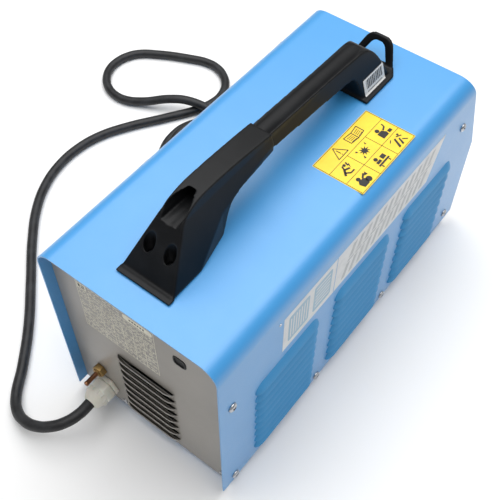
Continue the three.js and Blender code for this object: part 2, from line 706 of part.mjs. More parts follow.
const BLADES = 7
const blade = () => {
  const outline = polygon([[17, -5], [54, -9], [54, 9], [17, 5]])
  const plate = pushed(outline, 2).translate(0, 0, -1).rotateX(Math.PI / 5)
  return plate
}
const fanRotor = join(
  rod(19, 15, [FAN.x, FAN.front + 1.5, FAN.z], 'y', 24),
  ...Array.from({ length: BLADES }, (_, i) =>
    solid(
      blade()
        .rotateZ((i * 2 * Math.PI) / BLADES)
        .rotateX(Math.PI / 2)
        .translate(FAN.x, FAN.front + 9, FAN.z)
    )
  )
)
add('fan_rotor', fanRotor, blackPlastic)

// Wire bay: spool on its hub, feed plate with motor, drive roll, pressure arm and tension knob

const SPOOL = { y: 45, z: 142, radius: 99 }
const spoolAt = (x) => [x, SPOOL.y, SPOOL.z]
add(
  'spool_hub',
  join(rod(24, 4, spoolAt(PARTITION + SHEET + GAP), 'x'), rod(14, 50, spoolAt(PARTITION - 4), 'x'),
    rod(6, 12, spoolAt(86), 'x', 12)),
  blackPlastic
)
add(
  'wire_spool',
  turned(
    [[15, 46.5], [SPOOL.radius, 46.5], [SPOOL.radius, 49.5], [42, 49.5], [42, 81], [SPOOL.radius, 81],
      [SPOOL.radius, 84], [15, 84]],
    spoolAt(0),
    'x',
    40
  ),
  blackPlastic
)
add('wire_pack', ring(84, 42 + 2 * GAP, 30.9, spoolAt(49.8), 'x', 36), copperWire)
const nutBlank = turned([[0, 86.3], [20, 86.3], [20, 92], [12, 96], [0, 96]], spoolAt(0), 'x', 20)
add('spool_nut', cut(nutBlank, rod(6 + GAP, 12, spoolAt(85), 'x', 12)), blackPlastic)

const DRIVE = { y: -130, z: 95, radius: 15, x: [52, 62] }
const PLATE = { x: [PARTITION + SHEET + GAP, PARTITION + SHEET + GAP + 6], y: [-190, -72], z: [62, 140] }
const ARM = { y: -98, z: 125 }
const ROLL = { radius: 11, z: DRIVE.z + DRIVE.radius + 0.8 + 11 }
const feedPlate = cut(
  join(
    box(PLATE.x, PLATE.y, PLATE.z),
    rod(4, 26, [PLATE.x[0] + 1, ARM.y, ARM.z], 'x', 16),
    box([PLATE.x[1] - 1, 62], [-86, -74], [104, 116.8])
  ),
  rod(4.5, 20, [PLATE.x[0] - 5, DRIVE.y, DRIVE.z], 'x', 16),
  rod(2, 40, [57, -92, TORCH_SOCKET.z], 'y', 12)
)
add('feed_plate', feedPlate, aluminium)
add(
  'feed_motor',
  cut(
    rod(23, 72, [PARTITION - GAP - 72, DRIVE.y, DRIVE.z], 'x'),
    rod(4.5, 20, [PARTITION - 16, DRIVE.y, DRIVE.z], 'x', 16)
  ),
  zincSheet
)
add(
  'drive_roll',
  join(
    turned(
      [[0, DRIVE.x[0]], [DRIVE.radius, DRIVE.x[0]], [DRIVE.radius, 56.4], [DRIVE.radius - 0.6, 57],
        [DRIVE.radius, 57.6], [DRIVE.radius, DRIVE.x[1]], [0, DRIVE.x[1]]],
      [0, DRIVE.y, DRIVE.z],
      'x',
      28
    ),
    rod(3.8, 30, [DRIVE.x[1] - 33, DRIVE.y, DRIVE.z], 'x', 16)
  ),
  zinc
)
add('pressure_roller', ring(ROLL.radius, 3.4, 10, [DRIVE.x[0], DRIVE.y, ROLL.z], 'x', 24), zinc)

const armOutline = new THREE.Shape()
armOutline.absarc(ARM.y, ARM.z, 9, Math.PI / 2, -Math.PI / 2, true)
armOutline.lineTo(-160, 113)
armOutline.lineTo(-160, 131.8)
const pressureArm = cut(
  join(
    alongX(armOutline, 63.4, 69.4),
    ring(8, 4 + GAP, 22, [48.1, ARM.y, ARM.z], 'x'),
    rod(3, 14, [50.5, DRIVE.y, ROLL.z], 'x', 12),
    box([50, 69.4], [-168, -150], [124, 131.8])
  ),
  rod(4 + GAP, 40, [46, ARM.y, ARM.z], 'x', 16),
  rod(3 + GAP, 20, [57, -159, 115], 'z', 12)
)
add('pressure_arm', pressureArm, aluminium)
add(
  'tension_knob',
  join(
    turned([[0, 0], [8, 0], [8.6, 2], [8.6, 20], [7, 22], [0, 22]], [57, -159, 132 + GAP], 'z', 20),
    rod(3, 8, [57, -159, 125.5], 'z', 12)
  ),
  blackPlastic
)

// Side door: a lift-up flap hinged along its top edge, with two quarter-turn latches

const DOOR_X = SIDE + GAP
const HINGE = { x: DOOR_X + 2.2, z: DOOR.z[1] + 3, pin: 1.3, knuckle: 2.1 }
const HINGES = { front: -130, rear: 94 }
const doorKnuckle = (y) => [
  ring(HINGE.knuckle, HINGE.pin + GAP, 14, [HINGE.x, y + 8, HINGE.z], 'y', 12),
  ring(HINGE.knuckle, HINGE.pin + GAP, 14, [HINGE.x, y - 22, HINGE.z], 'y', 12),
  box([DOOR_X, DOOR_X + SHEET], [y + 8, y + 22], [DOOR.z[1] - 2, HINGE.z - HINGE.knuckle + 0.6]),
  box([DOOR_X, DOOR_X + SHEET], [y - 22, y - 8], [DOOR.z[1] - 2, HINGE.z - HINGE.knuckle + 0.6]),
]
const door = cut(
  join(
    box([DOOR_X, DOOR_X + SHEET], DOOR.y, DOOR.z),
    ...Object.values(HINGES).flatMap(doorKnuckle)
  ),
  ...Object.values(LATCHES).map((y) => rod(3.5, 8, [DOOR_X - 3, y, LATCH_Z], 'x', 16)),
  ...Object.values(HINGES).map((y) => rod(HINGE.pin + GAP, 60, [HINGE.x, y - 30, HINGE.z], 'y', 12))
)
add('side_door', door, bluePaint)

for (const [end, y] of Object.entries(HINGES)) {
  const pin = join(
    rod(HINGE.pin, 46, [HINGE.x, y - 23, HINGE.z], 'y', 12),
    ring(HINGE.knuckle, HINGE.pin - 0.3, 14.4, [HINGE.x, y - 7.2, HINGE.z], 'y', 12),
    box([DOOR_X, DOOR_X + 1], [y - 7.2, y + 7.2], [HINGE.z, HINGE.z + 12])
  )
  add(`hinge_leaf_${end}`, pin, zinc)
}
for (const [end, y] of Object.entries(LATCHES)) {
  const latch = join(
    turned([[0, 0], [9, 0], [9, 2], [0, 2]], [DOOR_X + SHEET + GAP, y, LATCH_Z], 'x', 20),
    box([DOOR_X + SHEET + 1, DOOR_X + SHEET + 5.2], [y - 8, y + 8], [LATCH_Z - 1.6, LATCH_Z + 1.6]),
    rod(3, 7, [DOOR_X - 3.4, y, LATCH_Z], 'x', 12),
    box([DOOR_X - 4.4, DOOR_X - 2.4], [y - 3, y + 10], [LATCH_Z - 2.6, LATCH_Z + 2.6])
  )
  add(`door_latch_${end}`, latch, blackPlastic)
}

// Mains lead: out of the gland, round on the floor, one loose loop, then a coil beside the case.
// The coil's ring holds the wound turns, and a short tail runs from it to the plug.

const COIL = { x: 200, y: -125.5, middle: 68.75 }
const PLUG = { x: 130, z: 19, start: 0 }
const REST = LEAD / 2
const RUN = [
  [65, GLAND_NOSE + GAP, 36.7], [65.3, 273, 36.4], [70.5, 289, 34.7], [81.5, 302, 31],
  [97, 310.5, 25.7], [115, 312.7, 19.5], [133, 308, 13.6], [149.5, 295.5, 9], [172, 265.5, 6.6],
  [207, 222.5, REST], [252, 176, REST], [298, 129.5, REST], [331, 90, REST], [351.7, 53.5, REST],
  [362.5, 17, REST], [364.2, -20, REST], [357, -55.7, REST], [339, -93, REST],
  [305.5, -143.5, REST], [280, -185.5, REST], [272, -210, REST], [273, -230.6, REST],
  [281, -248.4, REST], [295, -262, REST], [313, -270, REST], [333, -270.7, REST],
  [359.5, -261.6, REST], [408, -237.2, REST], [429.3, -222, REST], [440, -205.3, REST],
  [444, -186.2, REST], [441, -167, REST], [431, -150.2, REST], [416, -138, REST],
  [397, -132, REST], [377, -133.4, 6.7], [352.5, -144, 9.8], [316.5, -165, 20],
  [293, -176.5, 22], [258.5, -190, 13],
]
const TAIL = [
  [125, -77, 18.6], [126, -52, 17.6], [128.5, -26, 18],
  [PLUG.x, -10, PLUG.z], [PLUG.x, PLUG.start - GAP, PLUG.z],
]

const tube = (points, steps) => {
  const line = new THREE.CatmullRomCurve3(points.map((p) => new THREE.Vector3(...p)))
  const section = new THREE.Shape()
  const sides = 10
  for (let i = 0; i < sides; i++) {
    const turn = (i * 2 * Math.PI) / sides
    const [a, b] = [Math.cos(turn) * REST, Math.sin(turn) * REST]
    if (i === 0) section.moveTo(a, b)
    else section.lineTo(a, b)
  }
  return solid(new THREE.ExtrudeGeometry(section, { steps, extrudePath: line, bevelEnabled: false }))
}
add('mains_lead_run', tube(RUN, 60), blackRubber)
add('mains_lead_tail', tube(TAIL, 5), blackRubber)

const [coilIn, coilOut, coilTop] = [COIL.middle - LEAD, COIL.middle + LEAD, 2 * LEAD]
add(
  'mains_lead_coil',
  turned(
    [[coilIn + 4, 0], [coilOut - 4, 0], [coilOut, 4], [coilOut, coilTop - 4], [coilOut - 4, coilTop],
      [coilIn + 4, coilTop], [coilIn, coilTop - 4], [coilIn, 4]],
    [COIL.x, COIL.y, 0],
    'z',
    32
  ),
  blackRubber
)

const plugBody = turned(
  [[0, PLUG.start], [7.5, PLUG.start], [9.5, 22], [16, 30], [19, 40], [19, 66], [17.5, 70], [0, 70]],
  [PLUG.x, 0, PLUG.z],
  'y',
  24
)
const PIN_SPACING = 19
const PIN_RADIUS = 2.4
const pinHole = (side) => rod(PIN_RADIUS + GAP, 20, [PLUG.x + (side * PIN_SPACING) / 2, 60, PLUG.z], 'y', 12)
add('mains_plug_body', cut(plugBody, pinHole(-1), pinHole(1)), blackRubber)
for (const [side, name] of [[-1, 'left'], [1, 'right']]) {
  const pin = turned(
    [[0, 60 + GAP], [PIN_RADIUS, 60 + GAP], [PIN_RADIUS, 87], [1, 89], [0, 89]],
    [PLUG.x + (side * PIN_SPACING) / 2, 0, PLUG.z],
    'y',
    12
  )
  add(`mains_plug_pin_${name}`, pin, zinc)
}

export default model
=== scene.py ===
import math

import bmesh
import bpy
from mathutils import Matrix, Vector


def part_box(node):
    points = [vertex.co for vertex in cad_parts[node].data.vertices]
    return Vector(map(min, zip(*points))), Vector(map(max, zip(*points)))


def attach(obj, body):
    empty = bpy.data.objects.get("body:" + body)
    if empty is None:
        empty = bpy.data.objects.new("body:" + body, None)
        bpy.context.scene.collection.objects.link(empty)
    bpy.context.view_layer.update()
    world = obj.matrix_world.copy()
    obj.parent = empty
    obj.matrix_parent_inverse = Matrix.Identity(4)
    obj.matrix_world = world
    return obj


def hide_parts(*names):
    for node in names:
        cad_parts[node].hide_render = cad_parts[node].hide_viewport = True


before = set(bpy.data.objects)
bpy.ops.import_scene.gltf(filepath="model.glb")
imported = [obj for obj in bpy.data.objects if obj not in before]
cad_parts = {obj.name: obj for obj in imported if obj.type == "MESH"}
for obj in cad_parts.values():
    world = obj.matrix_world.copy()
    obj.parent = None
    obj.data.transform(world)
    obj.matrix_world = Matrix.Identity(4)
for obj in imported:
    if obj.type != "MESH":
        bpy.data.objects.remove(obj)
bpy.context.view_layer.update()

MM = 0.001

# Camera: high behind the machine's rear left corner, looking down over the handle and the vents.
# It stands about a metre away, close enough for the case's edges to draw together.


def add_object(name, data):
    made = bpy.data.objects.new(name, data)
    bpy.context.scene.collection.objects.link(made)
    return made


camera_data = bpy.data.cameras.new("camera")
camera_data.lens = 59.32
camera_data.sensor_width = 36
camera_data.clip_start, camera_data.clip_end = 0.01, 20
camera = add_object("camera", camera_data)
camera_axes = Matrix((
    (-0.79350673, 0.49467265, -0.35446585),
    (-0.60853335, -0.63937611, 0.46998442),
    (0.00585144, 0.58864009, 0.80837405),
))
camera.matrix_world = Matrix.Translation((-0.3074, 0.4664, 0.8579)) @ camera_axes.to_4x4()
bpy.context.scene.camera = camera
bpy.context.scene.view_settings.view_transform = "Standard"


# The mains lead: one 12.5 mm three-core rubber cable. It comes out of the gland, lies on the floor in
# a wide arc and a loose loop, goes round a coil beside the case, and ends in its plug.


class Signal:
    """A number that changes over a surface. Arithmetic on it adds Math nodes to its finish."""

    def __init__(self, finish, socket):
        self.finish = finish
        self.socket = socket

    def maths(self, operation, first, second=None):
        inputs = {0: first} if second is None else {0: first, 1: second}
        return self.finish.node("ShaderNodeMath", {"operation": operation}, inputs)

    def __add__(self, other):
        return self.maths("ADD", self, other)

    def __radd__(self, other):
        return self.maths("ADD", other, self)

    def __sub__(self, other):
        return self.maths("SUBTRACT", self, other)

    def __rsub__(self, other):
        return self.maths("SUBTRACT", other, self)

    def __mul__(self, other):
        return self.maths("MULTIPLY", self, other)

    def __rmul__(self, other):
        return self.maths("MULTIPLY", other, self)

    def __truediv__(self, other):
        return self.maths("DIVIDE", self, other)

    def __mod__(self, other):
        return self.maths("FLOORED_MODULO", self, other)

    def __gt__(self, other):
        return self.maths("GREATER_THAN", self, other)

    def __lt__(self, other):
        return self.maths("LESS_THAN", self, other)

    def __abs__(self):
        return self.maths("ABSOLUTE", self)


class Finish:
    """A surface finish: one material, whose nodes all come from node()."""

    def __init__(self, name, roughness=0.5, metallic=0.0, **fixed):
        self.material = bpy.data.materials.new(name)
        self.material.use_nodes = True
        self.tree = self.material.node_tree
        self.tree.nodes.clear()
        self.shader = self.tree.nodes.new("ShaderNodeBsdfPrincipled")
        output = self.tree.nodes.new("ShaderNodeOutputMaterial")
        self.tree.links.new(self.shader.outputs[0], output.inputs[0])
        self.paint(Roughness=roughness, Metallic=metallic)
        for socket, value in fixed.items():
            self.feed(self.shader.inputs[socket.replace("_", " ")], value)
        self.place = self.node("ShaderNodeTexCoord", output="Object")

    def feed(self, socket, value):
        if isinstance(value, Signal):
            self.tree.links.new(value.socket, socket)
        else:
            socket.default_value = value

    def node(self, kind, settings=None, inputs=None, output=0):
        made = self.tree.nodes.new(kind)
        for key, value in (settings or {}).items():
            if key == "stops":
                ramp = made.color_ramp
                while len(ramp.elements) < len(value):
                    ramp.elements.new(0.5)
                for element, (position, colour) in zip(ramp.elements, value):
                    element.position = position
                    element.color = (*colour, 1) if len(colour) == 3 else colour
            else:
                setattr(made, key, value)
        for socket, value in (inputs or {}).items():
            self.feed(made.inputs[socket], value)
        return Signal(self, made.outputs[output])

    def paint(self, **sockets):
        for socket, value in sockets.items():
            if isinstance(value, tuple) and len(value) == 3:
                value = (*value, 1)
            self.feed(self.shader.inputs[socket.replace("_", " ")], value)

    def noise(self, scale, detail=2.0, rough=0.5, place=None):
        settings = {"noise_dimensions": "3D"}
        inputs = {"Vector": place or self.place, "Scale": scale, "Detail": detail, "Roughness": rough}
        return self.node("ShaderNodeTexNoise", settings, inputs)

    def ramp(self, factor, *stops):
        return self.node("ShaderNodeValToRGB", {"stops": stops}, {"Fac": factor})

    def blend(self, factor, first, second):
        first = (*first, 1) if isinstance(first, tuple) and len(first) == 3 else first
        second = (*second, 1) if isinstance(second, tuple) and len(second) == 3 else second
        settings = {"data_type": "RGBA", "clamp_factor": True}
        return self.node("ShaderNodeMix", settings, {0: factor, 6: first, 7: second}, output=2)

    def relief(self, height, distance, strength=1.0):
        inputs = {"Height": height, "Distance": distance, "Strength": strength}
        self.paint(Normal=self.node("ShaderNodeBump", None, inputs))

    def axis(self, name):
        return self.node("ShaderNodeSeparateXYZ", None, {0: self.place}, output=name)


LEAD = 0.0125
REST = 6.3
LEAD_RUN = [
    (65, 246, 36.7), (65, 258.8, 36.7), (65.3, 273, 36.4), (70.5, 289, 34.7), (81.5, 302, 31),
    (97, 310.5, 25.7), (115, 312.7, 19.5), (133, 308, 13.6), (149.5, 295.5, 9), (172, 265.5, 6.6),
    (207, 222.5, REST), (252, 176, REST), (298, 129.5, REST), (331, 90, REST), (351.7, 53.5, REST),
    (362.5, 17, REST), (364.2, -20, REST), (357, -55.7, REST), (339, -93, REST),
    (305.5, -143.5, REST), (280, -185.5, REST), (272, -210, REST), (273, -230.6, REST),
    (281, -248.4, REST), (295, -262, REST), (313, -270, REST), (333, -270.7, REST),
    (359.5, -261.6, REST), (408, -237.2, REST), (429.3, -222, REST), (440, -205.3, REST),
    (444, -186.2, REST), (441, -167, REST), (431, -150.2, REST), (416, -138, REST),
    (397, -132, REST), (377, -133.4, 6.7), (352.5, -144, 9.8), (316.5, -165, 20),
    (293, -176.5, 22), (258.5, -190, 13),
]
LEAD_TAIL = [
    (125, -100, 18.7), (125, -77, 18.6), (126, -52, 17.6), (128.5, -26, 18), (130, -10, 19), (130, -0.3, 19),
]
COIL_CENTRE = (200, -125.5)
COIL_STAGES = [
    (-76, 75, REST), (-376, 75, REST), (-436, 62.5, REST), (-736, 62.5, REST),
    (-796, 62.5, 18.8), (-1130, 62.5, 18.8), (-1190, 75, 18.8), (-1260, 75, 18.8),
]


def coil_point(angle):
    for (a0, r0, z0), (a1, r1, z1) in zip(COIL_STAGES, COIL_STAGES[1:]):
        if a0 >= angle >= a1:
            share = (a0 - angle) / (a0 - a1)
            ease = share * share * (3 - 2 * share)
            radius, z = r0 + (r1 - r0) * ease, z0 + (z1 - z0) * ease
            turn = math.radians(angle)
            return (COIL_CENTRE[0] + radius * math.cos(turn), COIL_CENTRE[1] + radius * math.sin(turn), z)


COIL_STEP = 20
coil_turns = [coil_point(angle) for angle in range(COIL_STAGES[0][0], COIL_STAGES[-1][0] - 1, -COIL_STEP)]
lead_points = LEAD_RUN + coil_turns + LEAD_TAIL

lead_curve = bpy.data.curves.new("mains_lead", "CURVE")
lead_curve.dimensions = "3D"
lead_curve.bevel_depth = LEAD / 2
lead_curve.bevel_resolution = 5
lead_curve.resolution_u = 8
lead_curve.use_fill_caps = True
lead_spline = lead_curve.splines.new("BEZIER")
lead_spline.bezier_points.add(len(lead_points) - 1)
for bezier, place in zip(lead_spline.bezier_points, lead_points):
    bezier.co = Vector(place) * MM
    bezier.handle_left_type = bezier.handle_right_type = "AUTO"
mains_lead = add_object("mains_lead", lead_curve)

lead_rubber = Finish("lead_rubber", roughness=0.5, Specular_IOR_Level=0.45)
lead_scuffs = lead_rubber.noise(60, 5, 0.62)
lead_grain = lead_rubber.noise(900, 2)
lead_rubber.paint(
    Base_Color=lead_rubber.ramp(lead_scuffs, (0.40, (0.008, 0.008, 0.009)), (0.74, (0.030, 0.031, 0.034))),
    Roughness=0.36 + 0.30 * lead_scuffs,
)
lead_rubber.relief(lead_grain + 1.6 * lead_scuffs, 0.00012, 0.5)
lead_curve.materials.append(lead_rubber.material)


def seat(piece, body, slot, *nodes):
    """Parents a piece to the empty of the body it rides on, and hides the CAD nodes it stands for. The slot
    is not used.
    """
    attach(piece, body)
    if nodes:
        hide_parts(*nodes)


seat(mains_lead, "machine", "black_rubber", "mains_lead_run", "mains_lead_coil", "mains_lead_tail")


# The floor and the soft studio light: one large panel overhead and a weak one behind.
# The floor is plain and pale, and neither panel is small enough to cast a hard shadow.
floor_mesh = bpy.data.meshes.new("floor")
floor_mesh.from_pydata([(-6, -6, 0), (6, -6, 0), (6, 6, 0), (-6, 6, 0)], [], [(0, 1, 2, 3)])
floor = add_object("floor", floor_mesh)
floor_finish = Finish("pale_floor", roughness=0.9)
floor_finish.paint(Base_Color=(0.95, 0.95, 0.95))
floor_mesh.materials.append(floor_finish.material)

world = bpy.data.worlds.new("studio")
world.use_nodes = True
world.node_tree.nodes["Background"].inputs["Color"].default_value = (1, 1, 1, 1)
world.node_tree.nodes["Background"].inputs["Strength"].default_value = 0.22
bpy.context.scene.world = world
STUDIO_PANELS = [
    ("overhead", (0.15, -0.30, 2.1), (0.05, 0, 0.1), 2.8, 74),
    ("rear_side", (-0.5, 2.4, 1.5), (0, 0.1, 0.1), 1.2, 3),
]
for panel_name, place, target, size, power in STUDIO_PANELS:
    light_data = bpy.data.lights.new(panel_name, "AREA")
    light_data.shape = "SQUARE"
    light_data.size = size
    light_data.energy = power
    light = add_object(panel_name, light_data)
    aim = (Vector(target) - Vector(place)).to_track_quat("-Z", "Y")
    light.matrix_world = Matrix.Translation(place) @ aim.to_matrix().to_4x4()


# The case cover: one 1.5 mm steel sheet folded over the top in two round bends, its front edges
# leaning back, with a powder coat that is finely pebbled. Louvres are lanced out of its left side.


def new_piece(name, vertices, faces, finish, smooth_angle=35):
    mesh = bpy.data.meshes.new(name)
    mesh.from_pydata([Vector(v) for v in vertices], [], faces)
    piece = add_object(name, mesh)
    mesh.materials.append(finish.material)
    smooth(piece, smooth_angle)
    return piece


def smooth(piece, angle=35):
    piece.data.polygons.foreach_set("use_smooth", [True] * len(piece.data.polygons))
    piece.data.set_sharp_from_angle(angle=math.radians(angle))


def settle(piece, smooth_angle=35):
    """Bakes a piece's modifiers into its mesh."""
    bpy.context.view_layer.update()
    finished = bpy.data.meshes.new_from_object(piece.evaluated_get(bpy.context.evaluated_depsgraph_get()))
    piece.modifiers.clear()
    piece.data = finished
    smooth(piece, smooth_angle)
    return piece


def merge(name, pieces, smooth_angle=35):
    """Makes one piece of several that share a finish or bring their own."""
    whole = bmesh.new()
    mesh = bpy.data.meshes.new(name)
    for piece in pieces:
        shift = {}
        for index, material in enumerate(piece.data.materials):
            if material.name not in [m.name for m in mesh.materials]:
                mesh.materials.append(material)
            shift[index] = [m.name for m in mesh.materials].index(material.name)
        start = len(whole.faces)
        whole.from_mesh(piece.data)
        whole.faces.ensure_lookup_table()
        for face in whole.faces[start:]:
            face.material_index = shift[face.material_index]
    whole.to_mesh(mesh)
    whole.free()
    for piece in pieces:
        bpy.data.objects.remove(piece)
    joined = add_object(name, mesh)
    smooth(joined, smooth_angle)
    return joined


def carve(piece, cutter):
    """Cuts one piece out of another, and takes the cutter away."""
    cut = piece.modifiers.new("cut", "BOOLEAN")
    cut.operation, cut.solver, cut.object = "DIFFERENCE", "EXACT", cutter
    settle(piece)
    bpy.data.objects.remove(cutter)
    return piece


def prism(name, outline, axis, low, high, finish):
    """A closed solid: an outline in the other two axes, in order, pushed along one axis."""
    place = {
        "x": lambda a, b, c: (c, a, b),
        "y": lambda a, b, c: (b, c, a),
        "z": lambda a, b, c: (a, b, c),
    }[axis]
    count = len(outline)
    vertices = [place(a, b, c) for c in (low, high) for a, b in outline]
    area = sum(a0 * b1 - a1 * b0 for (a0, b0), (a1, b1) in zip(outline, outline[1:] + outline[:1]))
    ring = list(range(count)) if area > 0 else list(range(count))[::-1]
    faces = [ring[::-1], [i + count for i in ring]]
    for i in range(count):
        a, b = ring[i], ring[(i + 1) % count]
        faces.append([a, b, b + count, a + count])
    return new_piece(name, vertices, faces, finish)


def powder_coat(name, colour, shade, gloss, level):
    coat = Finish(name, roughness=0.4, Specular_IOR_Level=level, Coat_Weight=gloss, Coat_Roughness=0.35)
    pebble = coat.noise(1500, 1.5, 0.4)
    mottle = coat.noise(9, 4, 0.6)
    handling = coat.noise(38, 6, 0.68)
    coat.paint(
        Base_Color=coat.blend(mottle * 0.9 + 0.12 * pebble, colour, shade),
        Roughness=0.33 + 0.16 * handling + 0.05 * mottle,
    )
    coat.relief(pebble + 0.25 * handling, 0.00022, 0.42)
    return coat


blue_coat = powder_coat("blue_powder_coat", (0.050, 0.325, 0.705), (0.040, 0.285, 0.645), 0.70, 0.7)
# Louvre hoods: a copy of the blue coat with darker colours and little gloss. The darker colours are painted
# shade; the hoods are the same paint as the cover.
shaded_louvre_coat = powder_coat("pressed_powder_coat", (0.044, 0.300, 0.610), (0.034, 0.260, 0.555), 0.05, 0.25)

HALF_WIDTH, REAR_END, FRONT_END = 0.105, 0.2395, -0.2395
SHEET, CASE_LOW, CASE_TOP, BEND = 0.0015, 0.012, 0.267, 0.021
LEAN_LOW, LEAN = 0.1415, 0.37052
BEND_STEPS = 16


def case_profile(inset):
    """The folded sheet's section, from the left lower edge over the top to the right one."""
    half, radius, top = HALF_WIDTH - inset, BEND - inset, CASE_TOP - inset
    centre_x, centre_z = half - radius, top - radius
    left_arc = [(math.pi - i * math.pi / 2 / BEND_STEPS) for i in range(BEND_STEPS + 1)]
    right_arc = [(math.pi / 2 - i * math.pi / 2 / BEND_STEPS) for i in range(BEND_STEPS + 1)]
    section = [(-half, CASE_LOW), (-half, LEAN_LOW)]
    section += [(-centre_x + radius * math.cos(t), centre_z + radius * math.sin(t)) for t in left_arc]
    section += [(centre_x + radius * math.cos(t), centre_z + radius * math.sin(t)) for t in right_arc]
    return section + [(half, LEAN_LOW), (half, CASE_LOW)]


def front_edge(z):
    return FRONT_END + LEAN * max(0.0, z - LEAN_LOW)


outer_section, inner_section = case_profile(0), case_profile(SHEET)
section_count = len(outer_section)
case_vertices = []
for section in (outer_section, inner_section):
    case_vertices += [(x, front_edge(z), z) for x, z in section]
    case_vertices += [(x, REAR_END, z) for x, z in section]
outer_front, outer_rear, inner_front, inner_rear = (i * section_count for i in range(4))
case_faces = []
for i in range(section_count - 1):
    j = i + 1
    case_faces += [
        (outer_front + i, outer_front + j, outer_rear + j, outer_rear + i),
        (inner_front + i, inner_rear + i, inner_rear + j, inner_front + j),
        (outer_front + j, outer_front + i, inner_front + i, inner_front + j),
        (outer_rear + i, outer_rear + j, inner_rear + j, inner_rear + i),
    ]
end = section_count - 1
case_faces += [
    (outer_front, outer_rear, inner_rear, inner_front),
    (outer_front + end, inner_front + end, inner_rear + end, outer_rear + end),
]
casing = new_piece("casing", case_vertices, case_faces, blue_coat)

LOUVRE_GROUPS = (0.136, 0.004, -0.128)
LOUVRE_ROWS, LOUVRE_PITCH, LOUVRE_LOWEST = 9, 0.0153, 0.031
LOUVRE_HALF, LOUVRE_HEIGHT, LOUVRE_DEPTH = 0.0515, 0.0124, 0.0052
HOOD_END_STEPS, HOOD_ROWS, HOOD_SWELL = 9, 8, 1.3


def hood_columns(half, end_round):
    """Places along a hood, each with how high the hood still stands there."""
    columns = []
    for i in range(HOOD_END_STEPS + 1):
        t = math.pi / 2 * (1 - i / HOOD_END_STEPS)
        columns.append((-(half - end_round) - end_round * math.sin(t), math.cos(t)))
    return columns + [(-along, share) for along, share in reversed(columns)]


def hood(name, half, height, depth, place, finish):
    """One pressed hood, open along its lip. place() puts (along, up from the lip, outwards)."""
    columns = hood_columns(half, height)
    vertices, faces = [], []
    for row in range(HOOD_ROWS + 1):
        rise = row / HOOD_ROWS
        for along, share in columns:
            vertices.append(place(along, height * share * rise, depth * share * (1 - rise ** HOOD_SWELL)))
    width = len(columns)
    for row in range(HOOD_ROWS):
        for i in range(width - 1):
            a = row * width + i
            faces.append((a, a + 1, a + width + 1, a + width))
    piece = new_piece(name, vertices, faces, finish)
    shell = bmesh.new()
    shell.from_mesh(piece.data)
    bmesh.ops.remove_doubles(shell, verts=shell.verts, dist=1e-6)
    out = place(0, 0, 1) - place(0, 0, 0)
    if sum((f.normal * f.calc_area() for f in shell.faces), Vector()).dot(out) < 0:
        bmesh.ops.reverse_faces(shell, faces=shell.faces)
    shell.to_mesh(piece.data)
    shell.free()
    wall = piece.modifiers.new("wall", "SOLIDIFY")
    wall.thickness, wall.offset = 0.0010, -1
    return settle(piece, 50)


SLOT_MARGIN = 0.0004


def slot_edge(half, height, reach):
    """The outline of the slot behind a hood as (along, up), a little smaller than the hood."""
    columns = hood_columns(half - SLOT_MARGIN, height - SLOT_MARGIN)
    return [(along, reach * share + SLOT_MARGIN / 2) for along, share in columns]


def add_node(tree, kind, inputs, **settings):
    """Adds a node to a Geometry Nodes tree, each input linked or set, and returns its output."""
    made = tree.nodes.new(kind)
    for key, value in settings.items():
        setattr(made, key, value)
    for socket, value in inputs.items():
        if isinstance(value, bpy.types.NodeSocket):
            tree.links.new(value, made.inputs[socket])
        else:
            made.inputs[socket].default_value = value
    return made.outputs[0]


def grow(piece, build, finish, smooth_angle, **named):
    """Runs a tree with named inputs on a piece, and bakes it. build() returns the tree's shape."""
    tree = bpy.data.node_groups.new("repeat_" + piece.name, "GeometryNodeTree")
    tree.interface.new_socket("Geometry", in_out="INPUT", socket_type="NodeSocketGeometry")
    values = {}
    for label, (kind, value) in named.items():
        socket = tree.interface.new_socket(label, in_out="INPUT", socket_type="NodeSocket" + kind)
        values[socket.identifier] = value
    tree.interface.new_socket("Geometry", in_out="OUTPUT", socket_type="NodeSocketGeometry")
    given = tree.nodes.new("NodeGroupInput").outputs
    shape = {"Geometry": build(tree, given), "Material": finish.material}
    result = tree.nodes.new("NodeGroupOutput")
    tree.links.new(add_node(tree, "GeometryNodeSetMaterial", shape), result.inputs[0])
    modifier = piece.modifiers.new("repeat", "NODES")
    modifier.node_group = tree
    for identifier, value in values.items():
        modifier[identifier] = value
    return settle(piece, smooth_angle)


def in_rows(piece, rows, row_step, groups, group_step, finish):
    """Repeats a piece in rows and groups."""
    def build(tree, given):
        shape = given["Geometry"]
        for count, step in (("Rows", "RowStep"), ("Groups", "GroupStep")):
            line = add_node(tree, "GeometryNodeMeshLine", {"Count": given[count], "Offset": given[step]})
            placed = add_node(tree, "GeometryNodeInstanceOnPoints", {"Points": line, "Instance": shape})
            shape = add_node(tree, "GeometryNodeRealizeInstances", {0: placed})
        return shape

    return grow(
        piece, build, finish, 50, Rows=("Int", rows), RowStep=("Vector", row_step),
        Groups=("Int", groups), GroupStep=("Vector", group_step),
    )


louvre_step = (0, 0, LOUVRE_PITCH)
louvre_group_step = (0, LOUVRE_GROUPS[1] - LOUVRE_GROUPS[0], 0)
first_louvre = (LOUVRE_GROUPS[0], LOUVRE_LOWEST)
louvres = hood(
    "louvre", LOUVRE_HALF, LOUVRE_HEIGHT, LOUVRE_DEPTH,
    lambda along, up, out: Vector((-HALF_WIDTH - out, first_louvre[0] + along, first_louvre[1] + up)),
    shaded_louvre_coat,
)
louvre_rows = (LOUVRE_ROWS, louvre_step, len(LOUVRE_GROUPS), louvre_group_step)
louvres = in_rows(louvres, *louvre_rows, shaded_louvre_coat)
SIDE_CUT = (0.095, 0.115)
slot_outline = [
    (first_louvre[0] + along, first_louvre[1] + up)
    for along, up in slot_edge(LOUVRE_HALF, LOUVRE_HEIGHT, LOUVRE_HEIGHT - SLOT_MARGIN)
]
louvre_slots = prism("louvre_slot", slot_outline, "x", -SIDE_CUT[1], -SIDE_CUT[0], blue_coat)
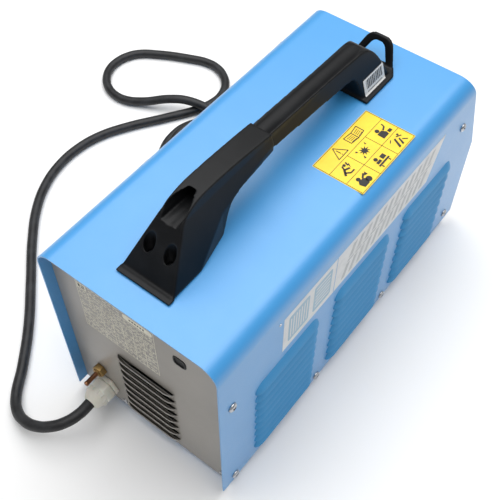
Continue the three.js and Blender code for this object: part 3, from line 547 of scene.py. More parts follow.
carve(casing, in_rows(louvre_slots, *louvre_rows, blue_coat))

DOOR_OPENING = [(-0.180, 0.054), (0.144, 0.054), (0.144, 0.228), (-0.180, 0.228)]
carve(casing, prism("door_opening", DOOR_OPENING, "x", *SIDE_CUT, blue_coat))
casing_cover = merge("casing", [casing, louvres], 40)
seat(casing_cover, "machine", "blue_powder_coat", "casing_cover")


# The rear panel: a sheet with folded side flanges set 12 mm into the cover, painted a warm grey in a
# smoother gloss. Eight scoops open upwards.

grey_paint = Finish("warm_grey_paint", roughness=0.35)
grey_mottle = grey_paint.noise(14, 5, 0.6)
grey_peel = grey_paint.noise(700, 1.5, 0.4)
grey_paint.paint(
    Base_Color=grey_paint.blend(grey_mottle, (0.335, 0.312, 0.280), (0.285, 0.266, 0.240)),
    Roughness=0.27 + 0.20 * grey_mottle,
)
grey_paint.relief(grey_peel + 0.4 * grey_mottle, 0.0002, 0.22)

PANEL_FACE, PANEL_HALF, PANEL_TOP = 0.2275, 0.1032, 0.2652
PANEL_BEND, PANEL_FLANGE = 0.0192, 0.0155
CORNER_STEPS = 14


def arch(half, bend, low, high):
    """A sheet's outline with two round upper corners, in (z, x), as prism() takes it along Y."""
    turns = [i * math.pi / 2 / CORNER_STEPS for i in range(CORNER_STEPS + 1)]
    right = [(high - bend + bend * math.sin(t), half - bend + bend * math.cos(t)) for t in turns]
    left = [(z, -x) for z, x in reversed(right)]
    return [(low, half)] + right + left + [(low, -half)]


REAR_CUT = (0.220, 0.235)
rear_sheet = prism(
    "rear_panel", arch(PANEL_HALF, PANEL_BEND, CASE_LOW, PANEL_TOP), "y",
    PANEL_FACE - SHEET, PANEL_FACE, grey_paint,
)
rear_flanges = prism(
    "rear_flanges", arch(PANEL_HALF, PANEL_BEND, 0.014, PANEL_TOP), "y",
    PANEL_FACE - PANEL_FLANGE, PANEL_FACE - SHEET, grey_paint,
)
flange_hollow = arch(PANEL_HALF - SHEET, PANEL_BEND - SHEET, 0, PANEL_TOP - SHEET)
carve(rear_flanges, prism("rear_hollow", flange_hollow, "y", 0.20, 0.24, grey_paint))
SCOOPS, SCOOP_PITCH, SCOOP_LOWEST = 8, 0.015, 0.029
SCOOP_CENTRE, SCOOP_HALF, SCOOP_HEIGHT, SCOOP_DEPTH = -0.00075, 0.0373, 0.0124, 0.0058
scoops = hood(
    "scoop", SCOOP_HALF, SCOOP_HEIGHT, SCOOP_DEPTH,
    lambda along, up, out: Vector((SCOOP_CENTRE + along, PANEL_FACE + out, SCOOP_LOWEST - up)),
    grey_paint,
)
scoop_rows = (SCOOPS, (0, 0, SCOOP_PITCH), 1, (0, 0, 0))
scoops = in_rows(scoops, *scoop_rows, grey_paint)
SCOOP_SLOT_REACH = 0.0114
scoop_outline = [
    (SCOOP_LOWEST - up, SCOOP_CENTRE + along)
    for along, up in slot_edge(SCOOP_HALF, SCOOP_HEIGHT, SCOOP_SLOT_REACH)
]
scoop_slot = prism("scoop_slot", scoop_outline, "y", *REAR_CUT, grey_paint)
carve(rear_sheet, in_rows(scoop_slot, *scoop_rows, grey_paint))


def disc(radius, centre, sides=40):
    turns = [i * 2 * math.pi / sides for i in range(sides)]
    return [(centre[0] + radius * math.cos(t), centre[1] + radius * math.sin(t)) for t in turns]


def squarish(share):
    """The spare hole's outline in (z, x), between a circle and a square."""
    outline = []
    for i in range(48):
        up, over = math.cos(i * math.pi / 24), math.sin(i * math.pi / 24)
        z, x = (math.copysign(abs(part) ** 0.6, part) for part in (up, over))
        outline.append((HOLE_PLUG[0] + share * 0.0072 * z, HOLE_PLUG[1] + share * 0.0078 * x))
    return outline


HOLE_PLUG, GLAND_AT, BARB_AT = (0.215, -0.051), (0.065, 0.0367), (0.0703, 0.066)
for radius, (x, z) in ((0.0102, GLAND_AT), (0.0046, BARB_AT)):
    carve(rear_sheet, prism("round_hole", disc(radius, (z, x)), "y", *REAR_CUT, grey_paint))
carve(rear_sheet, prism("plug_hole", squarish(1), "y", *REAR_CUT, grey_paint))
rear_panel = merge("rear_panel_sheet", [rear_sheet, rear_flanges, scoops], 40)
seat(rear_panel, "machine", "grey_paint", "rear_panel")


# The carry handle: two black injection-moulded halves with a fine matt grain and softly rounded edges.
# The rear half has a sleeve that the grip slides into, a hollow torch rest and two deep screw bores.


def cad_copy(name, nodes, finish, flat_angle=None):
    """One piece made of CAD nodes: doubles merged and, if asked, flat faces joined."""
    shell = bmesh.new()
    for node in nodes:
        shell.from_mesh(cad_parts[node].data)
    bmesh.ops.remove_doubles(shell, verts=shell.verts, dist=1e-6)
    if flat_angle:
        bmesh.ops.dissolve_limit(shell, angle_limit=flat_angle, verts=shell.verts, edges=shell.edges)
    mesh = bpy.data.meshes.new(name)
    shell.to_mesh(mesh)
    shell.free()
    piece = add_object(name, mesh)
    mesh.materials.append(finish.material)
    return piece


def moulded(name, nodes, voxel, rounds, finish, relax=0.5):
    """A moulded copy of CAD nodes, with every edge softly rounded."""
    piece = cad_copy(name, nodes, finish)
    remesh = piece.modifiers.new("skin", "REMESH")
    remesh.mode, remesh.voxel_size = "VOXEL", voxel
    settle(piece, 180)
    soften = piece.modifiers.new("soften", "SMOOTH")
    soften.factor, soften.iterations = relax, rounds
    settle(piece, 180)
    piece.data.materials.clear()
    piece.data.materials.append(finish.material)
    return piece


def moulded_plastic(name, colour, roughness=0.5):
    plastic = Finish(name, roughness=roughness, Specular_IOR_Level=0.22)
    grain = plastic.noise(1700, 2, 0.5)
    rub = plastic.noise(26, 6, 0.66)
    lifted = tuple(0.005 + 1.5 * channel for channel in colour)
    plastic.paint(
        Base_Color=plastic.blend(plastic.ramp(rub, (0.45, (0, 0, 0)), (0.80, (1, 1, 1))), colour, lifted),
        Roughness=(roughness - 0.08) + 0.22 * rub,
    )
    plastic.relief(grain + 0.5 * rub, 0.00012, 0.35)
    return plastic


handle_black = moulded_plastic("handle_black", (0.0040, 0.0044, 0.0052), 0.42)
for node, name in (("handle_rear_foot", "handle_sleeve"), ("handle_grip", "handle_bar")):
    half = moulded(name, [node], 0.0008, 16, handle_black)
    seat(half, "machine", "black_plastic", node)


# Fasteners: zinc-plated cross-head screws with pan heads, turned into the side sheets and the handle.
# Each head is a low dome, with a recess for the driver's cross.


def face_outwards(piece, smooth_angle=35):
    """Turns the faces of a closed piece to point outwards."""
    shell = bmesh.new()
    shell.from_mesh(piece.data)
    bmesh.ops.recalc_face_normals(shell, faces=shell.faces)
    shell.to_mesh(piece.data)
    shell.free()
    smooth(piece, smooth_angle)
    return piece


def turned(name, profile, at, axis, finish, sides=48, smooth_angle=30):
    """A lathe-turned piece. The profile is (radius, distance along the axis) from end to end."""
    turn = Vector((0, 0, 1)).rotation_difference(Vector(axis)).to_matrix()
    vertices, faces, rings = [], [], []
    for radius, along in profile:
        if radius == 0:
            rings.append([len(vertices)])
            vertices.append(Vector((0, 0, along)))
            continue
        rings.append(list(range(len(vertices), len(vertices) + sides)))
        for i in range(sides):
            t = 2 * math.pi * i / sides
            vertices.append(Vector((radius * math.cos(t), radius * math.sin(t), along)))
    closed = profile[0][0] > 0
    pairs = list(zip(rings, rings[1:])) + ([(rings[-1], rings[0])] if closed else [])
    for low, high in pairs:
        for i in range(sides):
            j = (i + 1) % sides
            if len(low) == 1:
                faces.append((low[0], high[j], high[i]))
            elif len(high) == 1:
                faces.append((low[i], low[j], high[0]))
            else:
                faces.append((low[i], low[j], high[j], high[i]))
    piece = new_piece(name, [turn @ v + Vector(at) for v in vertices], faces, finish, smooth_angle)
    return face_outwards(piece, smooth_angle)


def plated(name, colour, roughness, streak=0.12, scale=120):
    metal = Finish(name, roughness=roughness, metallic=1.0)
    cloud = metal.noise(scale, 5, 0.62)
    spots = metal.noise(scale * 6, 3, 0.5)
    darker = tuple(0.62 * channel for channel in colour)
    metal.paint(
        Base_Color=metal.blend(cloud, colour, darker),
        Roughness=(roughness - 0.08) + streak * 2 * cloud,
    )
    metal.relief(spots, 0.00005, 0.3)
    return metal


zinc_plate = plated("zinc_plate", (0.62, 0.63, 0.65), 0.28)


BOX_FACES = [(3, 2, 1, 0), (4, 5, 6, 7), (0, 1, 5, 4), (1, 2, 6, 5), (2, 3, 7, 6), (3, 0, 4, 7)]


def pan_screw(name, centre, out, radius, height, finish):
    """A cross-head screw: domed pan head, recess cut with the driver's cross."""
    steps = 8
    turns = [i * math.pi / 2 / steps for i in range(steps)]
    dome = [(radius * math.cos(t) ** 0.7, 0.0006 + height * math.sin(t)) for t in turns]
    profile = [(0, 0.0002), (radius, 0.0002)] + dome + [(0, height + 0.0006)]
    out = Vector(out)
    head = turned(name, profile, centre, out, finish, 28)
    across = out.orthogonal().normalized()
    other = out.cross(across)
    for first, second in ((across, other), (other, across)):
        corners = [
            Vector(centre) + first * (a * radius * 0.56) + second * (b * radius * 0.13) + out * c
            for c in (height * 0.45, height * 2)
            for a, b in ((-1, -1), (1, -1), (1, 1), (-1, 1))
        ]
        carve(head, face_outwards(new_piece("recess", corners, BOX_FACES, finish)))
    return head


SCREW_RADIUS, SCREW_HEIGHT = 0.005, 0.0024
BORE_SCREW_RADIUS, BORE_FLOOR = 0.0048, 0.2762
SCREW_NODES = ["left_screw_%d" % i for i in range(1, 7)] + ["right_screw_1", "right_screw_2"]
SCREW_NODES += ["handle_screw_left", "handle_screw_right"]
for node in SCREW_NODES:
    low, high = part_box(node)
    middle = (low + high) / 2
    if node.startswith("handle"):
        place, out, radius = (middle.x, middle.y, BORE_FLOOR), (0, 0, 1), BORE_SCREW_RADIUS
    else:
        side = -1 if node.startswith("left") else 1
        place, out, radius = (side * (HALF_WIDTH + 0.0001), middle.y, middle.z), (side, 0, 0), SCREW_RADIUS
    screw = pan_screw(node + "_head", place, out, radius, SCREW_HEIGHT, zinc_plate)
    seat(screw, "machine", "zinc", node)


# Cable gland: moulded white nylon. A hexagon flange seats on the panel and a domed nut grips the lead.
# Twelve small ribs stand round the foot of the dome.

nylon = Finish("white_nylon", roughness=0.38, Subsurface_Weight=0.12, Subsurface_Scale=0.002)
nylon_tone = nylon.noise(55, 5, 0.6)
nylon.paint(
    Base_Color=nylon.ramp(nylon_tone, (0.35, (0.78, 0.76, 0.68)), (0.75, (0.62, 0.59, 0.49))),
    Roughness=0.30 + 0.25 * nylon_tone,
)
nylon.relief(nylon_tone, 0.0002, 0.3)


def break_edges(piece, width, segments, smooth_angle, angle_limit=30):
    """Rounds the edges of a piece that are sharper than a limit."""
    edges = piece.modifiers.new("edges", "BEVEL")
    edges.width, edges.segments, edges.limit_method = width, segments, "ANGLE"
    edges.angle_limit = math.radians(angle_limit)
    return settle(piece, smooth_angle)


def hex_nut(name, flats, low, high, at, finish, chamfer=0.0008):
    """A hexagon across its flats, along Y, its corners turned off at both ends."""
    radius = flats / math.sqrt(3)
    turns = [math.pi / 3 * i for i in range(6)]
    corners = [(at[1] + radius * math.sin(t), at[0] + radius * math.cos(t)) for t in turns]
    return break_edges(prism(name, corners, "y", low, high, finish), chamfer, 3, 40)


GLAND_FLATS = 0.027
NUT_LOW, NUT_NOSE = 0.2331, 0.2585
gland_flange = hex_nut("gland_flange", GLAND_FLATS, 0.2278, 0.2328, GLAND_AT, nylon, 0.0007)
nut_hex = hex_nut("nut_hex", GLAND_FLATS, NUT_LOW, 0.2442, GLAND_AT, nylon, 0.0012)
NUT_PROFILE = [
    (0, 0.2380), (0.0136, 0.2380), (0.0136, 0.2446), (0.0132, 0.2476), (0.0124, 0.2510), (0.0112, 0.2540),
    (0.0098, 0.2562), (0.0082, 0.2577), (0.0070, NUT_NOSE), (0.0064, 0.2583), (0.0064, 0.2470), (0, 0.2470),
]
nut_dome = turned("nut_dome", NUT_PROFILE, (GLAND_AT[0], 0, GLAND_AT[1]), (0, 1, 0), nylon, 64)
RIBS, RIB_RADIUS, RIB_RING = 12, 0.0010, 0.0130
nut_ribs = []
for i in range(RIBS):
    t = 2 * math.pi / RIBS * (i + 0.5)
    centre = (GLAND_AT[1] + RIB_RING * math.sin(t), GLAND_AT[0] + RIB_RING * math.cos(t))
    nut_ribs.append(prism("rib", disc(RIB_RADIUS, centre, 10), "y", 0.2440, 0.2492, nylon))
gland = merge("cable_gland", [gland_flange, nut_hex, nut_dome] + nut_ribs, 32)
seat(gland, "machine", "white_nylon", "gland_body", "gland_nut")


# Gas inlet: a brass hexagon screwed into the panel, with a plain copper tail for the hose.
# Both metals are dulled by age and handling.

brass = plated("aged_brass", (0.42, 0.27, 0.105), 0.34, 0.16, 170)
copper = plated("hose_tail_copper", (0.36, 0.165, 0.085), 0.30, 0.14, 150)
barb_hex = hex_nut("barb_hex", 0.014, 0.2278, 0.2350, BARB_AT, brass, 0.0008)
COLLAR_PROFILE = [(0, 0.2345), (0.0052, 0.2345), (0.0052, 0.2362), (0.0040, 0.2368), (0, 0.2368)]
TAIL_PROFILE = [
    (0.0014, 0.2360), (0.0026, 0.2360), (0.0026, 0.2500), (0.0029, 0.2506), (0.0029, 0.2516),
    (0.0025, 0.2529), (0.0016, 0.2529), (0.0014, 0.2524),
]
barb_collar, barb_tail = (
    turned(name, profile, (BARB_AT[0], 0, BARB_AT[1]), (0, 1, 0), metal, 32)
    for name, profile, metal in (("barb_collar", COLLAR_PROFILE, brass), ("barb_tail", TAIL_PROFILE, copper))
)
gas_inlet = merge("gas_inlet", [barb_hex, barb_collar, barb_tail], 32)
seat(gas_inlet, "machine", "brass", "gas_inlet_barb")


# Blanking plug in the spare hole at the top of the rear panel: dark soft plastic, pushed in.
# Its face is dished, and it stands a little proud of the paint.

soft_black = moulded_plastic("soft_black", (0.012, 0.012, 0.012), 0.58)
plug_rim = prism("plug_rim", squarish(1), "y", 0.2262, 0.2281, soft_black)
carve(plug_rim, prism("plug_dish", squarish(0.72), "y", 0.2270, 0.2300, soft_black))
break_edges(plug_rim, 0.0004, 2, 40)
plug_rim.name = "blanking_plug"
seat(plug_rim, "machine", "black_plastic", "rear_hole_plug")


# Two small cross-head screws low on the rear panel: one beside the vent, one near the panel's edge.
# They are zinc-plated like the larger ones.

PANEL_SCREWS = [(0.043, 0.0198), (-0.094, 0.022)]
panel_screws = [
    pan_screw("panel_screw", (x, PANEL_FACE, z), (0, 1, 0), 0.0034, 0.0016, zinc_plate)
    for x, z in PANEL_SCREWS
]
seat(merge("panel_screws", panel_screws, 32), "machine", "zinc")


# Rating table: screen-printed in cream ink on the panel. Rules, a code cell, a pill and rows of dashes.
# The marks inside its cell and its pill are a second, darker ink.


INK, FILM = 0.00012, 0.00018


def printed(name, shapes, place, finish, thickness=INK):
    """Flat ink or film: outlines in a surface's own (across, up), each a very thin closed solid."""
    vertices, faces = [], []
    for outline in shapes:
        start, count = len(vertices), len(outline)
        area = sum(a0 * b1 - a1 * b0 for (a0, b0), (a1, b1) in zip(outline, outline[1:] + outline[:1]))
        ring = outline if area > 0 else outline[::-1]
        vertices += [place(a, b, level) for level in (0.00002, thickness) for a, b in ring]
        faces.append(tuple(range(start + count - 1, start - 1, -1)))
        faces.append(tuple(range(start + count, start + 2 * count)))
        for i in range(count):
            j = (i + 1) % count
            faces.append((start + i, start + j, start + count + j, start + count + i))
    piece = new_piece(name, vertices, faces, finish, 30)
    return face_outwards(piece, 30)


def bar(left, low, right, high):
    return [(left, low), (right, low), (right, high), (left, high)]


def pill(left, low, right, high, round_by):
    corners = ((right - round_by, high - round_by), (left + round_by, high - round_by),
               (left + round_by, low + round_by), (right - round_by, low + round_by))
    outline = []
    for i, (x, y) in enumerate(corners):
        turns = [math.radians(90 * i + 18 * k) for k in range(6)]
        outline += [(x + round_by * math.cos(t), y + round_by * math.sin(t)) for t in turns]
    return outline


def rub(finish, scale=70):
    return finish.noise(scale, 6, 0.7)


def ink(name, colour, worn, roughness=0.55):
    finish = Finish(name, roughness=roughness)
    wear = rub(finish)
    finish.paint(
        Base_Color=finish.ramp(wear, (0.46, colour), (0.78, worn)),
        Roughness=roughness - 0.1 + 0.25 * wear,
    )
    return finish


cream_ink = ink("cream_ink", (0.84, 0.81, 0.68), (0.60, 0.57, 0.48))
dark_ink = ink("dark_ink", (0.010, 0.010, 0.011), (0.035, 0.033, 0.030))

TABLE_LEFT, TABLE_TOP, TABLE_WIDE, TABLE_HIGH = 0.073, 0.234, 0.095, 0.078
RULE = 0.0006
TABLE_ROWS = [0.0, 0.011, 0.019, 0.0265, 0.037, 0.0445, 0.052, 0.0595, 0.067, 0.078]
TABLE_COLUMNS = [(0.014, 1, 3), (0.028, 3, 9), (0.041, 3, 9), (0.054, 3, 8), (0.067, 3, 9), (0.080, 2, 9)]


def on_rear(across, down, out):
    return Vector((TABLE_LEFT - across, PANEL_FACE + out, TABLE_TOP - down))


table_shapes = [bar(0, y - RULE / 2, TABLE_WIDE, y + RULE / 2) for y in TABLE_ROWS]
table_shapes += [bar(x - RULE / 2, TABLE_ROWS[a], x + RULE / 2, TABLE_ROWS[b]) for x, a, b in TABLE_COLUMNS]
table_shapes += [bar(x, 0, x + RULE, TABLE_HIGH) for x in (0, TABLE_WIDE - RULE)]
table_shapes.append(bar(0.0012, 0.0015, 0.0130, 0.0098))
table_shapes.append(pill(0.058, 0.0014, 0.0932, 0.0098, 0.0036))
DASH, DASH_GAP = 0.0011, 0.0009
dash_seed = 7
for top, bottom in zip(TABLE_ROWS, TABLE_ROWS[1:]):
    first = 0.016 if top == 0 else 0.002
    last = 0.054 if top == 0 else 0.0935
    lines = 3 if bottom - top > 0.009 else 2
    for line in range(lines):
        y = top + (line + 0.62) * (bottom - top) / (lines + 0.24)
        x = first
        while x < last - 0.002:
            dash_seed = (dash_seed * 137 + 61) % 1009
            long = 0.0012 + 0.0042 * dash_seed / 1009
            if dash_seed % 7:
                table_shapes.append(bar(x, y - DASH / 2, min(x + long, last), y + DASH / 2))
            x += long + DASH_GAP * (1 + dash_seed % 3)
rating_table = printed("rating_table", table_shapes, on_rear, cream_ink)
seat(rating_table, "machine", "grey_paint")
pill_dashes = [bar(0.066 + 0.0032 * i, 0.0046, 0.068 + 0.0032 * i, 0.0066) for i in range(6)]
pill_dashes += [
    bar(0.0030, 0.0034, 0.0055, 0.0080), bar(0.0070, 0.0034, 0.0112, 0.0046),
    bar(0.0070, 0.0062, 0.0112, 0.0076),
]


def above(place, level):
    """The same surface, a printed layer higher."""
    return lambda across, up, out: place(across, up, out + level)


seat(printed("rating_table_marks", pill_dashes, above(on_rear, INK), dark_ink), "machine", "grey_paint")


# Safety label on the roof: a yellow film with thin black rules, six plain pictograms and, in its head,
# a blank triangle and an open book. It is read from the machine's louvred side.

LABEL_NEAR, LABEL_REAR, LABEL_WIDE, LABEL_HIGH = -0.093, 0.0075, 0.0955, 0.0583
HEAD = 0.0194


def on_roof(across, up, out):
    return Vector((LABEL_NEAR + up, LABEL_REAR - across, CASE_TOP + out))


yellow_film = Finish("yellow_film", roughness=0.4, Coat_Weight=0.25, Coat_Roughness=0.2)
film_age = yellow_film.noise(45, 5, 0.65)
yellow_film.paint(
    Base_Color=yellow_film.ramp(film_age, (0.35, (0.96, 0.67, 0.015)), (0.8, (0.84, 0.55, 0.012))),
    Roughness=0.32 + 0.2 * film_age,
)
yellow_film.relief(film_age, 0.00008, 0.25)
label_outline = pill(0, 0, LABEL_WIDE, LABEL_HIGH, 0.0012)
seat(printed("roof_label", [label_outline], on_roof, yellow_film, FILM), "machine", "blue_powder_coat")

THIRD, ROW = LABEL_WIDE / 3, (LABEL_HIGH - HEAD) / 2
BORDER = 0.0008
BORDER_TOP, BORDER_END = LABEL_HIGH - BORDER, LABEL_WIDE - BORDER
label_shapes = [bar(BORDER, low, BORDER_END, low + 0.0004) for low in (BORDER, LABEL_HIGH - 0.0012)]
label_shapes += [bar(BORDER, y - 0.0002, BORDER_END, y + 0.0002) for y in (ROW, 2 * ROW)]
for x, top in ((0.001, BORDER_TOP), (THIRD, 2 * ROW), (2 * THIRD, 2 * ROW), (LABEL_WIDE - 0.001, BORDER_TOP)):
    label_shapes.append(bar(x - 0.0002, BORDER, x + 0.0002, top))


def at_cell(column, row, outline, size=1.0):
    """Puts a pictogram's outline, drawn about (0, 0) in millimetres, in the middle of a cell."""
    x, y = (column + 0.5) * THIRD, (row + 0.5) * ROW
    return [(x + a * MM * size, y + b * MM * size) for a, b in outline]


def round_at(x, y, radius, sides=18):
    return disc(radius, (x, y), sides)


def limb(x0, y0, x1, y1, wide):
    """A straight stroke between two points."""
    length = math.hypot(x1 - x0, y1 - y0)
    a, b = (y1 - y0) / length * wide / 2, (x1 - x0) / length * wide / 2
    return [(x0 + a, y0 - b), (x1 + a, y1 - b), (x1 - a, y1 + b), (x0 - a, y0 + b)]


BURST = [
    (r * math.cos(math.pi * i / 9), 0.85 * r * math.sin(math.pi * i / 9))
    for i, r in enumerate([6.6, 3.0] * 9)
]
PICTOGRAMS = {
    (0, 1): [
        limb(-7, -4, -1.5, 1.5, 2.4), limb(-1.5, 1.5, 4.5, -1, 2.0), limb(-1.5, 1.5, 1, 6, 1.7),
        limb(-4.5, -1, 0, -5.5, 1.8), limb(0, -5.5, 5.5, -5.5, 1.6), round_at(3.4, 5.2, 1.7),
        [(6.5, 6.5), (8.4, 6.5), (7.2, 3.4), (9, 3.4), (5.6, -1.6), (6.6, 2.2), (5.2, 2.2)],
    ],
    (1, 1): [
        BURST, [(-9, -5.8), (-6, -2.8), (-6.6, -6.6)], [(7.2, 4.6), (9.4, 7), (8.8, 3.6)],
        [(-8.8, 5.4), (-6.2, 3.2), (-6.4, 6.4)],
    ],
    (2, 1): [
        round_at(-2.6, 4.4, 2.5), [(-6.4, 1.6), (1.0, 1.6), (3.4, -3.4), (2.2, -6.8), (-6.6, -6.8)],
        limb(2.4, 0.4, 7.6, 2.6, 1.8), limb(7.6, 2.6, 8.8, 6.6, 1.4), bar(4.4, -6.6, 9.4, -3.0),
    ],
    (0, 0): [
        round_at(-3.4, 4.0, 2.4), round_at(4.2, -3.4, 3.4), limb(0.6, 1.6, 6.4, 4.8, 2.0),
        [(-8.4, -0.6), (-5.6, 2.0), (0.6, 1.6), (3.0, -0.6), (1.0, -6.6), (-6.8, -6.6)],
        [(4.6, 2.2), (8.8, 5.4), (8.8, 1.0)],
    ],
    (1, 0): [
        round_at(-3.8, 4.6, 2.3), bar(-7.2, -1.2, -0.6, 1.8), bar(-8.6, -4.2, 8.6, -2.2),
        bar(1.8, -0.8, 7.8, 4.2), limb(-6, -4.6, -6, -7.2, 1.4), limb(6, -4.6, 6, -7.2, 1.4),
    ],
    (2, 0): [
        [(-7.6, -5.8), (-2.0, 4.8), (0.4, 4.8), (-4.6, -5.8)],
        [(-1.6, -5.8), (2.2, 1.8), (4.0, 1.8), (1.0, -5.8)],
        limb(-8.6, 4.8, -4.8, 6.8, 1.0), limb(2.6, 5.2, 8.4, 2.2, 1.2), limb(4.4, -1.2, 8.4, -5.4, 1.2),
        round_at(6.4, 5.8, 1.3),
    ],
}
for (column, row), outlines in PICTOGRAMS.items():
    label_shapes += [at_cell(column, row, outline, 0.98) for outline in outlines]
TRIANGLE = ((0.0225, 2 * ROW + 0.0032), (0.0385, 2 * ROW + 0.0032), (0.0305, 2 * ROW + 0.0164))
for (x0, y0), (x1, y1) in zip(TRIANGLE, TRIANGLE[1:] + TRIANGLE[:1]):
    label_shapes.append(limb(x0, y0, x1, y1, 0.0008))
label_shapes.append(limb(0.0305, 2 * ROW + 0.0066, 0.0305, 2 * ROW + 0.0120, 0.0009))
label_shapes.append(round_at(0.0305, 2 * ROW + 0.0049, 0.0006, 10))
BOOK_LEFT, BOOK_RIGHT, BOOK_LOW, BOOK_TOP = 0.048, 0.070, 2 * ROW + 0.0042, 2 * ROW + 0.0152
book_middle = (BOOK_LEFT + BOOK_RIGHT) / 2
PAGE_TIP, PAGE_LINE = 0.0014, 0.0008
for x0, x1 in ((BOOK_LEFT, book_middle), (BOOK_RIGHT, book_middle)):
    label_shapes += [
        limb(x0, BOOK_LOW + PAGE_TIP, x1, BOOK_LOW, PAGE_LINE),
        limb(x0, BOOK_TOP, x1, BOOK_TOP - PAGE_TIP, PAGE_LINE),
        limb(x0, BOOK_LOW + PAGE_TIP, x0, BOOK_TOP, PAGE_LINE),
    ]
    for i in range(4):
        y = BOOK_TOP - 0.0030 - 0.0020 * i
        start, stop = x0 + (x1 - x0) * 0.2, x0 + (x1 - x0) * 0.85
        label_shapes.append(limb(start, y, stop, y - PAGE_TIP * 0.6, 0.0005))
label_shapes.append(limb(book_middle, BOOK_LOW, book_middle, BOOK_TOP - PAGE_TIP, PAGE_LINE))
roof_pictograms = printed("roof_label_pictograms", label_shapes, above(on_roof, FILM), dark_ink, 0.00026)
seat(roof_pictograms, "machine", "blue_powder_coat")


# Side strip: a thin silvery film along the louvred side, in two fields, with plain slanting stripes.
# Its front end is cut at a slant, and a small rivet sits behind its upper rear corner.

STRIP_LOW, STRIP_TOP, STRIP_REAR, STRIP_SPLIT = 0.178, 0.235, 0.1465, 0.0615
STRIP_FRONT_LOW, STRIP_FRONT_TOP = -0.1185, -0.1395


def on_left(back, up, out):
    return Vector((-HALF_WIDTH - out, back, up))


def strip_end(z):
    return STRIP_FRONT_LOW + (STRIP_FRONT_TOP - STRIP_FRONT_LOW) * (z - STRIP_LOW) / (STRIP_TOP - STRIP_LOW)


silver_film = ink("silver_film", (0.74, 0.75, 0.75), (0.62, 0.64, 0.65), 0.42)
pale_ink = ink("pale_blue_ink", (0.36, 0.52, 0.64), (0.50, 0.60, 0.68))
grey_ink = ink("grey_ink", (0.50, 0.52, 0.53), (0.62, 0.63, 0.64))
FIELD_GAP, STRIP_FILM = 0.0006, 0.00016
strip_shapes = [
    bar(STRIP_SPLIT + FIELD_GAP, STRIP_LOW, STRIP_REAR, STRIP_TOP),
    [
        (STRIP_SPLIT - FIELD_GAP, STRIP_LOW), (STRIP_SPLIT - FIELD_GAP, STRIP_TOP),
        (STRIP_FRONT_TOP, STRIP_TOP), (STRIP_FRONT_LOW, STRIP_LOW),
    ],
]
seat(printed("side_strip", strip_shapes, on_left, silver_film, STRIP_FILM), "machine", "blue_powder_coat")

STRIPE_STEP, STRIPE_SLANT, STRIPE_WIDE = 0.0135, 0.020, 0.0062
STRIPE_ROWS = ((0.184, 0.204, STRIPE_WIDE), (0.2065, 0.2095, 0.0105), (0.212, 0.229, STRIPE_WIDE))
stripes = []
y = STRIP_SPLIT - 0.010
while y - STRIPE_SLANT - STRIPE_WIDE > strip_end(STRIP_TOP) + 0.012:
    for low, high, wide in STRIPE_ROWS:
        shift = STRIPE_SLANT * (low - STRIP_LOW) / (STRIP_TOP - STRIP_LOW)
        rise = STRIPE_SLANT * (high - STRIP_LOW) / (STRIP_TOP - STRIP_LOW)
        stripes.append([(y - shift, low), (y - shift - wide, low), (y - rise - wide, high), (y - rise, high)])
    y -= STRIPE_STEP
blocks = [pill(0.106, 0.186, 0.1385, 0.228, 0.003), pill(0.069, 0.186, 0.0985, 0.228, 0.003)]
block_lines = [bar(0.109 + 0.0042 * i, 0.191, 0.1106 + 0.0042 * i, 0.223) for i in range(7)]
block_lines += [bar(0.072, 0.192 + 0.0058 * i, 0.0955, 0.194 + 0.0058 * i) for i in range(6)]
for name, shapes, level, colour in (
    ("side_strip_stripes", stripes, STRIP_FILM, grey_ink),
    ("side_strip_blocks", blocks, STRIP_FILM, pale_ink),
    ("side_strip_lines", block_lines, STRIP_FILM + INK, silver_film),
):
    seat(printed(name, shapes, above(on_left, level), colour), "machine", "blue_powder_coat")
RIVET_PROFILE = [(0, 0), (0.0016, 0), (0.0014, 0.0006), (0.0008, 0.0009), (0, 0.001)]
rivet = turned("strip_rivet", RIVET_PROFILE, (-HALF_WIDTH, 0.1527, 0.235), (-1, 0, 0), zinc_plate, 20)
seat(rivet, "machine", "zinc")


# Stock sticker on the handle's front foot: white paper with plain bars, laid onto the moulding.
# The bars are in its finish, because they are finer than its mesh.

STICKER_REAR, STICKER_FRONT, STICKER_LOW, STICKER_TOP = -0.101, -0.138, 0.2705, 0.288
sticker_paper = Finish("sticker_paper", roughness=0.6)
sticker_y, sticker_z = sticker_paper.axis("Y"), sticker_paper.axis("Z")
narrow = (sticker_y % 0.0013) < 0.0006
wide = (sticker_y % 0.0031) < 0.0012
from_middle = abs(sticker_y + 0.120)
inside = (from_middle < 0.0150) * (sticker_z > 0.2762) * (sticker_z < 0.2862)
dash_row = (sticker_z > 0.2722) * (sticker_z < 0.2738)
dashes = ((sticker_y % 0.0018) < 0.0011) * dash_row * (from_middle < 0.0135)
bars = (narrow + wide > 0.5) * inside + dashes
sticker_paper.paint(
    Base_Color=sticker_paper.blend(bars, (0.78, 0.78, 0.76), (0.03, 0.03, 0.03)),
    Roughness=0.5 + 0.2 * sticker_paper.noise(90, 4, 0.6),
)
STICKER_STEPS = 20
shares = [i / STICKER_STEPS for i in range(STICKER_STEPS + 1)]
grid = [
    (STICKER_REAR + (STICKER_FRONT - STICKER_REAR) * i, STICKER_LOW + (STICKER_TOP - STICKER_LOW) * j)
    for j in shares for i in shares
]
across = len(shares)
corners = [j * across + i for j in range(STICKER_STEPS) for i in range(STICKER_STEPS)]
cells = [(a, a + 1, a + across + 1, a + across) for a in corners]
sticker = new_piece("stock_sticker", [(-0.06, y, z) for y, z in grid], cells, sticker_paper)
lay = sticker.modifiers.new("lay", "SHRINKWRAP")
lay.target, lay.wrap_method = bpy.data.objects["handle_bar"], "PROJECT"
lay.use_project_x, lay.use_positive_direction, lay.use_negative_direction = True, True, False
lay.offset = 0.00035
settle(sticker, 60)
film = sticker.modifiers.new("film", "SOLIDIFY")
